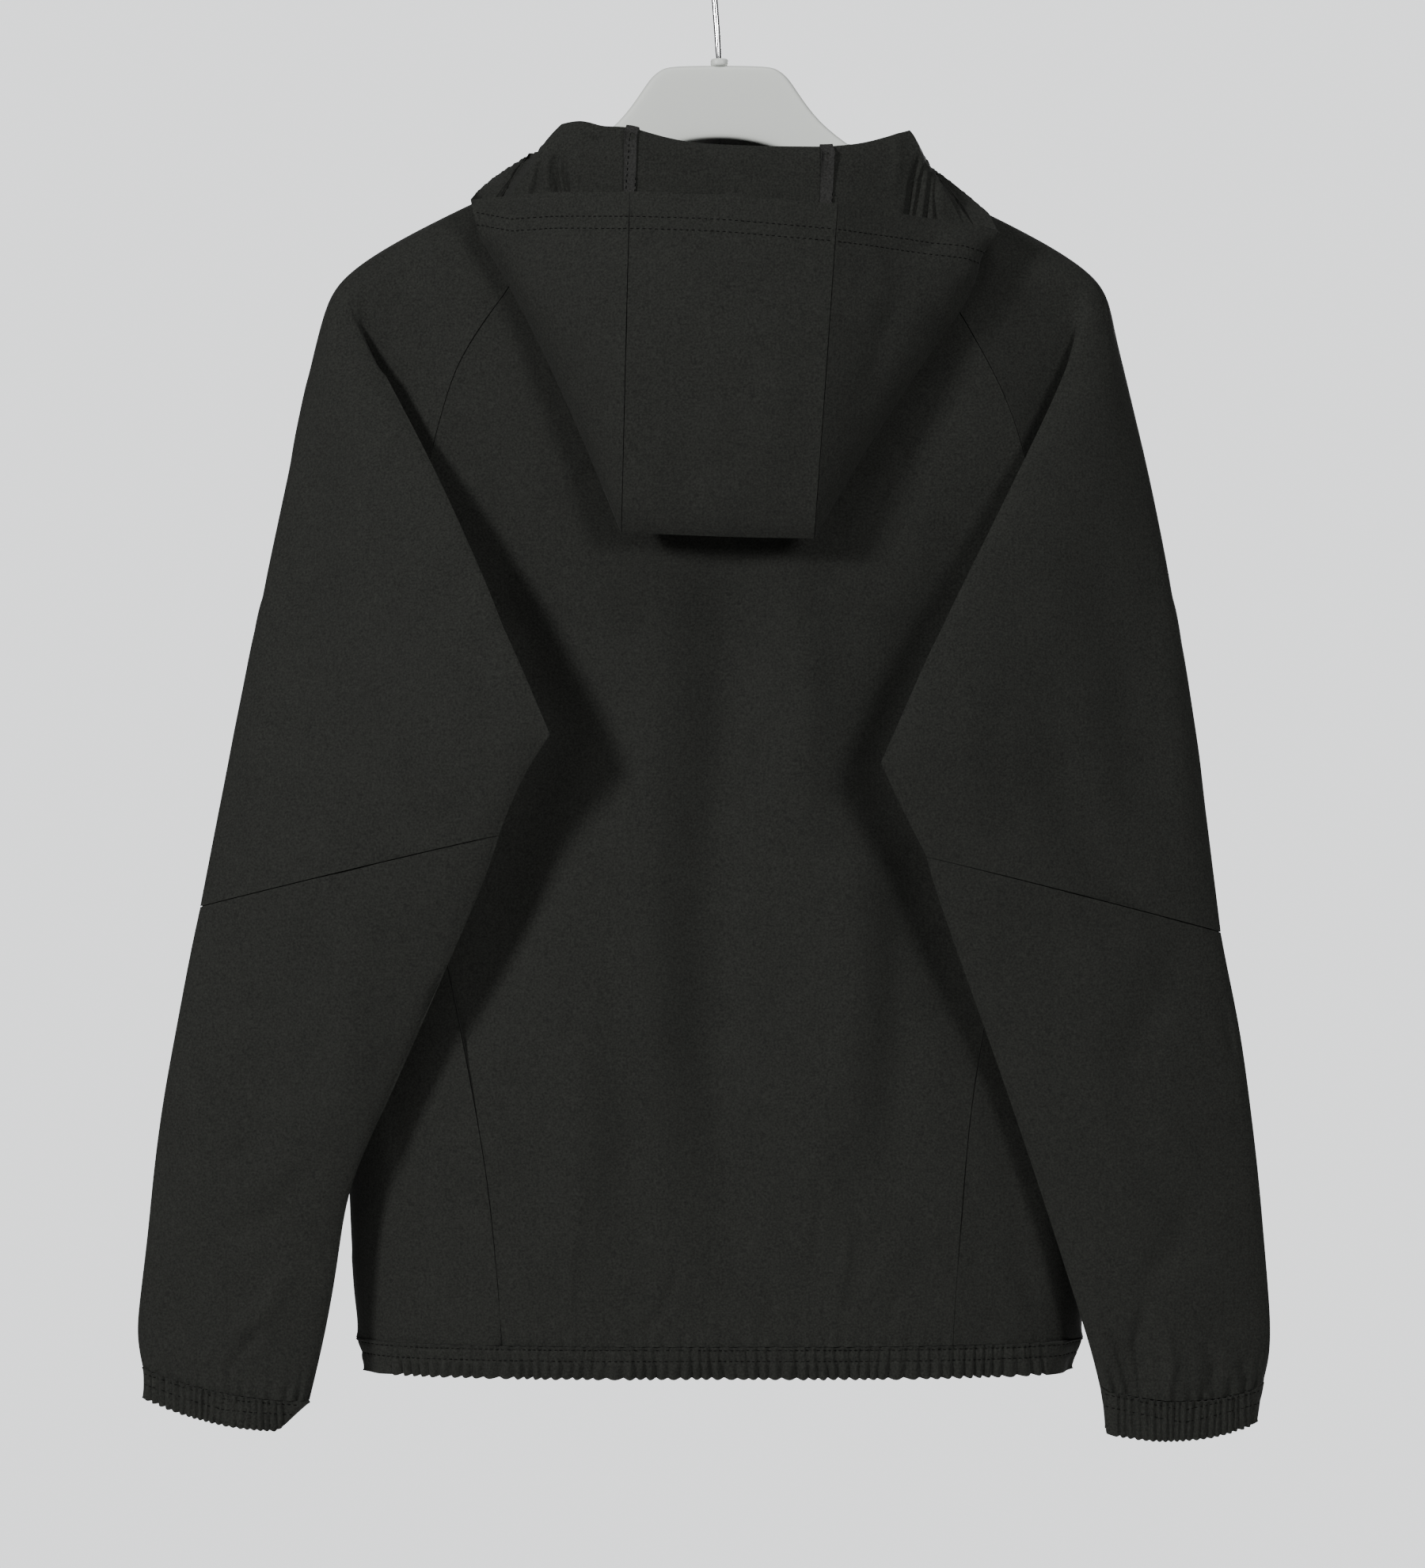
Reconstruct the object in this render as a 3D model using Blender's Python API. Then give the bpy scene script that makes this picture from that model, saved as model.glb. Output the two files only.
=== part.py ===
"""A hooded raglan windbreaker on a moulded clothes hanger.

Frame: +Z up, the jacket's back faces -Y, its front faces +Y, the wearer's left is -X.
The origin is the inside of the hook's crown, where a rail carries the hanger.
Tables are in millimetres, and x in a side's table is the distance from the centre plane.
"""
import math

import bmesh
import bpy
from mathutils import Vector

MM = 0.001
CLOTH = 1.2            # wall of the shell fabric
BAND = 1.8             # wall of the doubled elastic bands
SEAM_INSET = 0.25      # each piece stops this far short of its seam line
BAND_GAP = 0.8         # between a panel's edge and the band sewn to it
CORNER_GAP = 1.2       # the back panel's corner stands this far from the underarm's

# ---- body: sections from the shoulder tips down --------------------------------------
BODY_HALF_WIDTH = 219.5
BACK_COLUMNS = 16
FRONT_COLUMNS = 6
SIDE_COLUMNS = 6
ZIP_HALF_OPENING = 6.0
NECK_POWER = 3.0

# Rings from the neck seam to the shoulder tips: the ridge over the hanger (x, z), the raglan
# seams (distance from the centre, y, z) and the height at the back's and front's centre.
YOKE = (
    # ridge_x  ridge_z  back_x back_y back_z  front_x front_y front_z  centre_z  chest_z
    (97.6, -160.7, 91.2, -22.0, -166.7, 95.2, 14.0, -164.4, -182.7, -217.4),
    (140.0, -179.6, 101.0, -29.0, -189.5, 101.0, 26.0, -190.0, -197.0, -223.0),
    (181.6, -200.0, 107.0, -32.5, -203.0, 107.0, 31.0, -204.0, -210.0, -228.0),
    (208.0, -215.4, 115.0, -35.0, -221.0, 114.0, 34.0, -222.0, -224.0, -234.0),
    (225.0, -229.5, 123.0, -36.6, -237.0, 121.0, 36.0, -238.0, -237.0, -241.0),
)

# Where the sleeve folds over the back, from the shoulder tip to the underarm.
FOLD_LEFT = (
    # z     outer_x outer_y crease_x crease_y valley_x valley_y seam_x front_x front_y
    (-245, 231.8, -2.0, 219.0, -18.5, 207, -16.5, 129.5, 126.0, 36.0),
    (-260, 236.2, -4.0, 210.0, -21.5, 207.5, -15.0, 140.5, 134.0, 36.0),
    (-280, 241.2, -5.5, 198.5, -29.0, 209, -13.0, 152.8, 143.0, 36.0),
    (-305, 246.2, -7.5, 185.0, -38.0, 208, -14.0, 161.0, 152.0, 36.0),
    (-335, 252.2, -10.5, 169.0, -49.5, 208, -15.0, 168.7, 164.0, 35.0),
    (-370, 259.2, -14.5, 152.0, -61.0, 208, -16.0, 178.0, 180.0, 33.0),
    (-400, 265.2, -17.5, 138.5, -70.5, 209, -19.0, 184.5, 200.0, 28.5),
    (-415, 267.8, -19.0, 132.0, -75.0, 211, -34.8, 185.0, 212.0, 20.8),
    (-430, 270.8, -20.5, 126.0, -79.0, 193, -39.5, 201.2, 219.3, -5.1),
)
FOLD_RIGHT = (
    (-245, 229.6, -2.0, 219.0, -18.5, 207, -16.5, 137.5, 126.0, 36.0),
    (-260, 233.0, -4.0, 210.0, -21.5, 207.5, -15.0, 145.4, 134.0, 36.0),
    (-280, 238.0, -5.5, 203.5, -29.0, 210, -13.0, 157.3, 143.0, 36.0),
    (-305, 244.0, -7.5, 192.5, -38.0, 210, -14.0, 169.5, 152.0, 36.0),
    (-335, 251.0, -10.5, 177.6, -49.5, 210, -15.0, 178.6, 164.0, 35.0),
    (-370, 257.9, -14.5, 160.2, -61.0, 210, -16.0, 187.0, 180.0, 33.0),
    (-400, 263.3, -17.5, 145.0, -70.5, 210, -19.0, 188.5, 200.0, 28.5),
    (-415, 265.6, -19.0, 137.4, -75.0, 200, -49.3, 180.3, 212.0, 20.8),
    (-430, 268.2, -20.5, 130.0, -79.0, 194, -37.9, 195.6, 219.3, -5.1),
)

# The free sleeve, from the underarm to the cuff seam: its outer edge, the edge nearest the
# body's centre, and how far the face that shows dips below the line between them.
SLEEVE_LEFT = (
    # outer_x outer_y outer_z  inner_x inner_y inner_z  dip
    (271.4, -21.0, -434.2, 124.6, -79.8, -434.2, 0.0),
    (273.2, -21.8, -442, 120.8, -82.0, -442, 0.0),
    (275.7, -23.0, -455, 114.8, -86.0, -455, 0.0),
    (278.7, -25.0, -472, 107.4, -90.0, -472, 0.0),
    (283.0, -27.5, -494, 97.0, -94.0, -496, 0.0),
    (286.5, -29.5, -514, 109.5, -89.0, -514, 0.0),
    (292.2, -32.5, -545, 120.0, -84.0, -535, 0.0),
    (301.6, -36.0, -595.6, 126.8, -80.0, -553.6, 0.0),
    (308.0, -37.0, -626, 136.0, -76.0, -582, 0.0),
    (314.8, -38.0, -664, 152.0, -70.0, -617, 0.0),
    (322.8, -38.0, -706, 171.3, -64.0, -661, 0.0),
    (328.4, -37.0, -747, 193.6, -58.0, -711, 0.0),
    (332.0, -36.0, -786, 215.8, -54.0, -756, 0.0),
    (336.6, -35.0, -822, 221.0, -52.0, -800, 1.0),
    (339.2, -34.0, -845, 229.0, -49.0, -844, 2.5),
    (335.6, -33.0, -863, 238.0, -47.0, -880.5, 4.0),
)
SLEEVE_RIGHT = (
    (268.8, -20.8, -433, 128.6, -79.8, -433, 0.0),
    (270.0, -21.8, -442, 124.0, -81.5, -442, 0.0),
    (272.3, -23.0, -455, 117.5, -85.0, -455, 0.0),
    (275.0, -25.0, -475, 108.3, -89.5, -476, 0.0),
    (279.6, -29.0, -508, 92.2, -94.0, -512, 0.0),
    (281.7, -30.5, -530, 99.6, -90.0, -528, 0.0),
    (285.0, -32.8, -558, 108.0, -86.5, -545, 0.0),
    (291.0, -36.0, -610.4, 118.9, -81.0, -566, 0.0),
    (294.5, -37.0, -630, 125.0, -76.0, -588, 0.0),
    (302.2, -38.0, -667, 141.0, -69.5, -632, 0.0),
    (307.8, -38.0, -709, 158.0, -63.0, -678, 0.0),
    (313.2, -37.0, -754, 174.0, -58.0, -724, 0.0),
    (316.4, -36.0, -792, 187.0, -54.0, -762, 0.0),
    (319.8, -35.0, -829, 203.0, -51.0, -812, 2.0),
    (320.4, -34.0, -855, 215.3, -49.0, -850, 5.0),
    (316.2, -33.0, -872, 220.6, -47.0, -872, 9.0),
)
ELBOW_ROW = 7          # the row of the tables above that lies on the elbow seam
UNDERARM_Z = -430.0
UNDERARM_REACH = 50.0  # below the underarm the sleeve has its own section after this
NEAR_BULGE = 13.0      # how far a flattened sleeve's two faces stand off its chord
FAR_BULGE = 12.0

# The cuffs' open ends: the same columns as the sleeves.
CUFF_END_LEFT = (335.2, -33.0, -879.5, 255.0, -46.0, -897.5, 4.0)
CUFF_END_RIGHT = (313.6, -34.0, -893.0, 223.0, -48.0, -898.0, 8.0)

# Side seams below the underarm, and the depth of the body there.
BODY = (
    # z   left_x right_x front_angle half_width back_y chest_y
    (-433.5, 195.0, 195.0, 1.5, 219.6, -44.0, 49.0),
    (-442, 193.5, 193.5, -4.0, 220.0, -44.3, 49.0),
    (-460, 190.0, 191.0, -12.0, 220.3, -45.0, 49.0),
    (-490, 184.5, 186.0, -22.0, 220.8, -46.0, 49.0),
    (-530, 178.5, 180.5, -27.0, 221.4, -47.0, 49.5),
    (-575, 169.5, 171.0, -31.0, 221.8, -48.5, 50.0),
    (-620, 160.0, 162.0, -34.0, 222.0, -50.0, 50.0),
    (-665, 150.5, 153.5, -37.0, 222.0, -51.5, 50.0),
    (-710, 141.7, 145.7, -40.0, 221.5, -53.0, 50.0),
    (-755, 134.0, 141.5, -42.0, 220.5, -54.0, 50.0),
    (-795, 130.0, 138.5, -44.0, 219.0, -55.0, 50.0),
    (-828, 127.0, 136.0, -46.0, 217.0, -55.5, 50.0),
    (-849, 126.5, 135.0, -48.0, 213.5, -56.0, 50.0),
)
HEM_DROP = 19.0        # height of the elastic band
HEM_PULL = 6.0         # the band's end is this much narrower on each side
HEM_WAVES = 3          # half waves in each column of the body
WAVE_DEPTH = 1.5

# Soft folds that hang down the back: a line from its top to its bottom, its width, and how
# far it stands out of (+) or into (-) the cloth.
BACK_FOLDS = (
    # top_x top_z  end_x end_z  width  out
    (4.0, -430.0, -8.0, -700.0, 20.0, -5.0),
    (-8.0, -640.0, 10.0, -800.0, 20.0, -4.0),
    (-38.0, -400.0, -36.0, -660.0, 24.0, 4.0),
    (44.0, -380.0, 38.0, -540.0, 24.0, 4.5),
    (76.0, -560.0, 70.0, -730.0, 24.0, 4.0),
    (-95.0, -560.0, -80.0, -780.0, 26.0, 3.0),
    (110.0, -660.0, 60.0, -800.0, 24.0, -3.0),
)

# ---- hood, fallen down the back: one row for each rib --------------------------------
# neck is the number of the rib's point on the neck seam, from the left of the zip. The rib
# rises from there over its crown, drops to the turn at the bottom of the pocket, and climbs
# to the face edge; pocket is how far its two walls stand apart there. A rib with no crown
# stands straight up as a collar.
HOOD_RIBS = (
    # neck, (crown_x, y, z), (turn_x, y, z), (edge_x, y, z), pocket
    (0, None, None, (-6.0, 48.0, -137.2), 0.0),
    (1, None, None, (-32.0, 46.0, -138.0), 0.0),
    (2, None, None, (-55.0, 42.5, -139.5), 0.0),
    (3, None, None, (-76.0, 36.0, -141.5), 0.0),
    (4, None, None, (-92.0, 28.0, -144.5), 0.0),
    (6, None, None, (-106.0, 18.0, -148.0), 0.0),
    (8, (-99.5, 9, -148.5), (-108, 9.5, -151), (-115.0, 11.0, -153.5), 0.0),
    (10, (-99, -1, -145), (-112, -0.3, -152.6), (-131.0, 0.0, -165.4), 0.0),
    (13, (-97, -15, -141.5), (-131.4, -30.1, -189), (-141.5, -21.2, -177.3), 0.35),
    (21, (-92, -29, -139.8), (-138.7, -41, -207), (-144.3, -41.2, -185.3), 0.58),
    (22, (-80, -36, -138.0), (-121, -49, -236), (-120.0, -47.0, -184.0), 1.0),
    (23, (-69, -39, -143.0), (-101, -55, -275), (-98.5, -60.0, -183.4), 1.0),
    (24, (-60, -41, -143.0), (-78, -63, -326), (-75.0, -71.0, -184.5), 1.0),
    (25, (-50.6, -42, -144), (-56, -72, -379.8), (-51.2, -80.0, -185.7), 1.0),
    (27, (-25, -43, -152), (-19, -73, -381), (-20.0, -85.0, -187.0), 1.0),
    (29, (0, -43, -154), (2, -73, -382), (6.0, -86.5, -188.5), 1.0),
    (31, (30, -43, -155), (26, -73, -382.5), (35.0, -85.5, -190.8), 1.0),
    (33, (62, -42, -155), (54, -72, -383), (67.4, -80.0, -193.0), 1.0),
    (34, (72, -41, -154), (78, -63, -341), (86.0, -71.0, -194.5), 1.0),
    (35, (84, -39, -152.5), (102, -57, -304), (104.0, -61.0, -196.0), 1.0),
    (36, (98, -35, -148.0), (124, -52, -271), (122.0, -52.0, -198.0), 1.0),
    (37, (111, -29, -143.5), (147, -46.5, -240), (141.2, -48.3, -199.4), 0.84),
    (45, (113, -20, -145), (151.5, -41.6, -217.7), (161.3, -42.7, -203.2), 0.49),
    (48, (110, -9, -146.5), (152.6, -38.1, -206.6), (157.4, -23.2, -190.8), 0.33),
    (50, (106, 4, -148.0), (128.2, -2.3, -164), (141.5, -8.4, -175.2), 0.0),
    (52, None, None, (114.0, 17.0, -149.0), 0.0),
    (54, None, None, (97.0, 28.0, -144.5), 0.0),
    (55, None, None, (78.0, 36.0, -141.5), 0.0),
    (56, None, None, (55.0, 42.5, -139.5), 0.0),
    (57, None, None, (32.0, 46.0, -138.0), 0.0),
    (58, None, None, (6.0, 48.0, -137.2), 0.0),
)
HOOD_LEFT_SEAM = 13    # ribs that the hood's two seams follow
HOOD_RIGHT_SEAM = 17
HOOD_LIFT = 1.9        # the hood starts this far above the neck seam
CROWN_RADIUS = 3.6     # how tightly the cloth turns over at the crown and the bottom
TURN_RADIUS = 6.0      # half the space between the walls beside the turn
TURN_RISE = 7.0        # and how far above the turn they reach it
NEAR_WALL_OUT = 9.0    # the near wall's bulge over the line from turn to edge
TAPE_HALF_WIDTH = 3.8
TAPE = 1.0

# ---- zip, hanger ---------------------------------------------------------------------
ZIP_TAPE_EDGE = 14.0
ZIP_CHAIN_HALF = 2.9
SLIDER_Z = -158.0
SLIDER_SIZE = (8.0, 5.0, 11.0)
SLIDER_BACK_Y = 48.6    # just clear of the zip's teeth
PULL_LENGTH = 26.0
PULL_WIDTH = 6.0
PULL_THICK = 1.6
PULL_PIN_RADIUS = 0.9
HANGER_THICK = 9.0
HANGER_BEVEL = 3.2
HANGER_DROP = 1.3      # from the cloth's middle to the hanger's top edge
ARM_DEPTH = 27.0
HANGER_TIP_X = 214.0
HANGER_HEAD = ((77.9, -148.6), (58.3, -134.1), (45.0, -114.5), (40.0, -107.0), (34.0, -102.6),
               (28.0, -100.5))
HANGER_ARCH = ((0.0, -143.0), (22.3, -145.4), (45.0, -153.0), (70.0, -168.5), (97.6, -189.0))
HOOK_WIRE_RADIUS = 2.0
HOOK_RADIUS = 20.0     # inside the bend
HOOK_START_ANGLE = 212.0
HOOK_END_ANGLE = -22.0
HOOK_STEPS = 16
HOOK_STEM_TOP = (-2.7, -62.0)    # the stem is straight up to here, in x and z
HOOK_SWAY = (14.0, 11.0)         # how far its bend carries on straight at each end

FINISHES = {
    # name: (colour, roughness, metallic)
    "shell": ((0.030, 0.031, 0.034), 0.72, 0.0),
    "elastic": ((0.026, 0.027, 0.030), 0.80, 0.0),
    "tape": ((0.020, 0.021, 0.023), 0.85, 0.0),
    "zip": ((0.022, 0.022, 0.024), 0.50, 0.0),
    "plastic": ((0.58, 0.60, 0.57), 0.45, 0.0),
    "chrome": ((0.75, 0.75, 0.74), 0.22, 1.0),
}


def clear_scene():
    for old in list(bpy.data.objects):
        bpy.data.objects.remove(old, do_unlink=True)


def finish_material(node, finish):
    colour, roughness, metallic = FINISHES[finish]
    material = bpy.data.materials.new(node + "_" + finish)
    material.use_nodes = True
    shader = material.node_tree.nodes["Principled BSDF"]
    shader.inputs["Base Color"].default_value = (*colour, 1.0)
    shader.inputs["Roughness"].default_value = roughness
    shader.inputs["Metallic"].default_value = metallic
    return material


def add_object(node, mesh, finish):
    made = bpy.data.objects.new(node, mesh)
    mesh.materials.append(finish_material(node, finish))
    bpy.context.scene.collection.objects.link(made)
    return made


def mix(a, b, share):
    return a + (b - a) * share


def smooth(share):
    share = min(1.0, max(0.0, share))
    return share * share * (3.0 - 2.0 * share)


# ---- cloth walls ---------------------------------------------------------------------
class Cloth:
    """Panels that share their seam lines; each becomes a wall that stops at its seams."""

    def __init__(self):
        self.points = []
        self.index = {}
        self.faces = []
        self.panel_of_face = []

    def point(self, place):
        key = tuple(round(value, 3) for value in place)
        if key not in self.index:
            self.index[key] = len(self.points)
            self.points.append(Vector(place))
        return self.index[key]

    def quad(self, panel, corners):
        """Two triangles; corners run down and then across, seen from outside."""
        a, b, c, d = (self.point(corner) for corner in corners)
        for face in ((a, b, c), (a, c, d)):
            if len(set(face)) == 3:
                self.faces.append(face)
                self.panel_of_face.append(panel)

    def rows(self, panel, rows):
        for upper, lower in zip(rows, rows[1:]):
            for k in range(len(upper) - 1):
                self.quad(panel, (upper[k], lower[k], lower[k + 1], upper[k + 1]))

    def face_normal(self, face):
        a, b, c = (self.points[i] for i in face)
        return (b - a).cross(c - a)

    def normals(self):
        total = [Vector() for _ in self.points]
        for face in self.faces:
            normal = self.face_normal(face)
            for i in face:
                total[i] += normal
        return [value.normalized() for value in total]

    def insets(self, panel):
        """How far each point on a seam steps back into its own panel."""
        owners = {}
        for face, owner in zip(self.faces, self.panel_of_face):
            for i, j in ((face[0], face[1]), (face[1], face[2]), (face[2], face[0])):
                owners.setdefault(frozenset((i, j)), []).append((owner, face, i, j))
        inward = {}
        for sharing in owners.values():
            mine = [entry for entry in sharing if entry[0] == panel]
            if len(mine) != 1 or len(sharing) < 2:
                continue
            _, face, i, j = mine[0]
            along = self.points[j] - self.points[i]
            into = self.face_normal(face).cross(along).normalized()
            inward.setdefault(i, []).append(into)
            inward.setdefault(j, []).append(into)
        steps = {}
        for i, directions in inward.items():
            total = sum(directions, Vector())
            reach = max(total.dot(directions[0]), 0.35)
            steps[i] = total * (SEAM_INSET / reach)
        return steps

    def wall(self, panel, thick, finish):
        """The panel as a closed solid, half its thickness to each side of its points."""
        normals = self.normals()
        steps = self.insets(panel)
        chosen = [f for f, owner in zip(self.faces, self.panel_of_face) if owner == panel]
        used = sorted({i for face in chosen for i in face})
        build = bmesh.new()
        outer = {}
        inner = {}
        for i in used:
            middle = self.points[i] + steps.get(i, Vector())
            outer[i] = build.verts.new((middle + normals[i] * thick / 2) * MM)
            inner[i] = build.verts.new((middle - normals[i] * thick / 2) * MM)
        edges = {}
        for a, b, c in chosen:
            build.faces.new((outer[a], outer[b], outer[c]))
            build.faces.new((inner[c], inner[b], inner[a]))
            for i, j in ((a, b), (b, c), (c, a)):
                edges[(i, j)] = edges.get((i, j), 0) + 1
        for i, j in edges:
            if (j, i) not in edges:
                build.faces.new((outer[j], outer[i], inner[i]))
                build.faces.new((outer[j], inner[i], inner[j]))
        mesh = bpy.data.meshes.new(panel)
        build.to_mesh(mesh)
        build.free()
        mesh.shade_smooth()
        mesh.set_sharp_from_angle(angle=math.radians(40))
        return add_object(panel, mesh, finish)


# ---- body sections -------------------------------------------------------------------
EDGE_POWER = 0.8       # how blunt the body's flattened section is at its sides
DEPTH_POWER = 0.69


def section_point(angle, half_width, back_y, chest_y, z):
    """A point of the body's section: 0 is its left edge, 90 the back, -90 the chest."""
    turn = math.radians(angle)
    across = math.cos(turn)
    deep = math.sin(turn)
    x = -half_width * math.copysign(abs(across) ** EDGE_POWER, across)
    depth = back_y if deep > 0 else chest_y
    return Vector((x, depth * abs(deep) ** DEPTH_POWER, z))


def section_angle(x, half_width):
    """The angle at which the back of the section lies at distance x from the centre."""
    return math.degrees(math.acos((x / half_width) ** (1 / EDGE_POWER)))


def fold_out(folds, x, z):
    """How far the hanging folds move the cloth out at x, z."""
    total = 0.0
    for top_x, top_z, end_x, end_z, width, out in folds:
        share = (z - top_z) / (end_z - top_z)
        if -0.35 < share < 1.35:
            middle = mix(top_x, end_x, share)
            fade = smooth((share + 0.35) / 0.35) * smooth((1.35 - share) / 0.35)
            total += out * fade * math.exp(-((x - middle) / width) ** 2)
    return total


def back_row(left, right, centre_y, centre_z):
    """The back panel between its two seams at one level."""
    row = []
    for k in range(BACK_COLUMNS + 1):
        x = mix(left.x, right.x, k / BACK_COLUMNS)
        seam = left if x < 0 else right
        share = abs(x / seam.x)
        y = mix(centre_y, seam.y, share ** 3)
        z = mix(centre_z, seam.z, share ** 2)
        inside = 0 < k < BACK_COLUMNS
        out = fold_out(BACK_FOLDS, x, z) * (1 - share ** 4) if inside else 0.0
        row.append(seam.copy() if not inside else Vector((x, y - out, z)))
    row[0] = left.copy()
    row[-1] = right.copy()
    return row


def front_shares():
    """How far out each front column lies, as shares of the seam's distance."""
    end = -section_angle(ZIP_HALF_OPENING, BODY_HALF_WIDTH)
    angles = [mix(2.5, end, k / FRONT_COLUMNS) for k in range(FRONT_COLUMNS + 1)]
    xs = [section_point(a, BODY_HALF_WIDTH, -44, 49, 0).x for a in angles]
    return [x / xs[0] for x in xs]


def front_row(side, seam, chest_y, chest_z):
    """A front above the underarm, from the zip to the raglan seam."""
    row = []
    for share in reversed(front_shares()):
        x = share * abs(seam.x)
        y = mix(chest_y, seam.y, share ** NECK_POWER)
        z = mix(chest_z, seam.z, share ** NECK_POWER)
        row.append(Vector((side * max(x, ZIP_HALF_OPENING), y, z)))
    row[-1] = seam.copy()
    row[0].x = side * ZIP_HALF_OPENING
    return row


def underarm_front(side, seam):
    """The front's row at the underarm, where its seam has come round to the body's edge."""
    end = -section_angle(ZIP_HALF_OPENING, BODY_HALF_WIDTH)
    row = arc_row(side, 2.5, end, BODY_HALF_WIDTH, -44.0, 49.0, UNDERARM_Z, FRONT_COLUMNS)
    row[0] = seam.copy()
    row[-1].x = side * ZIP_HALF_OPENING
    return row[::-1]


def arc_row(side, start, end, half_width, back_y, chest_y, z, columns):
    """Part of the body's section between two angles, on either side."""
    row = []
    for k in range(columns + 1):
        place = section_point(mix(start, end, k / columns), half_width, back_y, chest_y, z)
        row.append(Vector((-side * place.x, place.y, place.z)))
    return row


# ---- sleeve sections -----------------------------------------------------------------
YOKE_EVEN = (0.0, 0.1, 0.2, 0.3, 0.4, 0.5, 0.6, 0.7, 0.8, 0.9, 1.0)
YOKE_TIP = (0.0, 0.012, 0.03, 0.05, 0.075, 0.10, 0.14, 0.18, 0.22, 0.55, 1.0)
RIDGE_HALF = 6.5
RIDGE_FALL = 0.8
VALLEY_RADIUS = 2.2     # how roundly the sleeve turns back under its fold


def yoke_ring(side, row, spread):
    """The sleeve's cloth over the shoulder, from its front seam to its back seam."""
    ridge_x, ridge_z, back_x, back_y, back_z, front_x, front_y, front_z = row[:8]
    ridge = Vector((side * ridge_x, 0.0, ridge_z))
    front = Vector((side * front_x, front_y, front_z))
    back = Vector((side * back_x, back_y, back_z))
    over = Vector((0.0, RIDGE_HALF, -RIDGE_FALL))
    front_top = ridge + over
    back_top = ridge + Vector((0.0, -RIDGE_HALF, -RIDGE_FALL))
    ring = []
    for share in (1.0, 0.6, 0.25, 0.0):
        place = front_top.lerp(front, share)
        place.y = mix(front_top.y, front.y, share ** 0.55)
        ring.append(place)
    ring.append(ridge)
    for even, tip in zip(YOKE_EVEN, YOKE_TIP):
        share = mix(even, tip, spread)
        place = back_top.lerp(back, share)
        place.y = mix(back_top.y, back.y, share ** 0.5)
        ring.append(place)
    return ring


def flat_normal(start, end):
    """The level direction square to start-end that points to the wearer's back."""
    along = Vector((end.x - start.x, end.y - start.y, 0.0)).normalized()
    normal = Vector((along.y, -along.x, 0.0))
    return normal if normal.y < 0 else -normal


def to_right(heading, side):
    """The level direction to the right of a heading, mirrored for the left sleeve."""
    return Vector((heading.y, -heading.x, 0.0)) * side


def fold_ring(side, row):
    """One level of the sleeve where it is folded over the back, front seam to back seam."""
    z, outer_x, outer_y, crease_x, crease_y, valley_x, valley_y, seam_x, fr_x, fr_y = row
    outer = Vector((side * outer_x, outer_y, z))
    crease = Vector((side * crease_x, crease_y, z))
    valley = Vector((side * valley_x, valley_y, z))
    front = Vector((side * fr_x, fr_y, z))
    back = raglan_point(side, seam_x, z)
    chord = outer - crease
    size = min(1.0, chord.length / 60.0)
    along = chord.normalized()
    out = flat_normal(crease, outer)
    side_on = (front - outer).normalized()
    front_out = -flat_normal(outer, front)
    ring = [front]
    for share in (0.62, 0.25):
        bulge = 5.0 * size * math.sin(math.pi * share)
        ring.append(outer.lerp(front, share) + front_out * bulge)
    ring.append(outer + side_on * 5.0 * size + front_out * 4.5 * size)
    ring.append(outer)
    ring.append(outer - along * 5.0 * size + out * 4.5 * size)
    bulge = mix(2.0, 10.0, size)
    ring.append(crease + chord * 0.66 + out * bulge)
    ring.append(crease + chord * 0.33 + out * bulge)
    ring.append(crease + along * 5.0 * size + out * 4.0 * size)
    ring.append(crease)
    into = (valley - crease).normalized()
    onward = (back - valley).normalized()
    middle = crease.lerp(valley, 0.5)
    radius = min(VALLEY_RADIUS, 0.3 * (valley - crease).length)
    doubled = radius * (1.0 - into.dot(onward)) / 2
    ring.append(crease + into * 5.0 * size - out * 1.0 * size)
    ring.append(middle)
    ring.append(valley - into * radius + to_right(into, side) * doubled)
    ring.append(valley)
    ring.append(valley + onward * radius + to_right(onward, side) * doubled)
    ring.append(back)
    return ring


def raglan_point(side, seam_x, z):
    """A point of the back raglan seam between the shoulder tip and the underarm."""
    depth = mix(40.5, 44.0, smooth((-237.0 - z) / 193.0))
    share = (seam_x / BODY_HALF_WIDTH) ** (2 / EDGE_POWER)
    return Vector((side * seam_x, -depth * (1 - share) ** (DEPTH_POWER / 2), z))


# Shares of the way from the inner to the outer edge, in the ring's order.
NEAR_SHARES = (0.955, 0.66, 0.33, 0.045)
FAR_FRONT_SHARES = (0.72, 0.80, 0.88, 0.955)
FAR_BACK_SHARES = (0.045, 0.13, 0.22, 0.31, 0.40, 0.50)
FAR_UNDER_SHARES = (0.57, 0.64)


def lens(share):
    return (1.0 - abs(2.0 * share - 1.0) ** 2.6) ** 0.6


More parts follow.
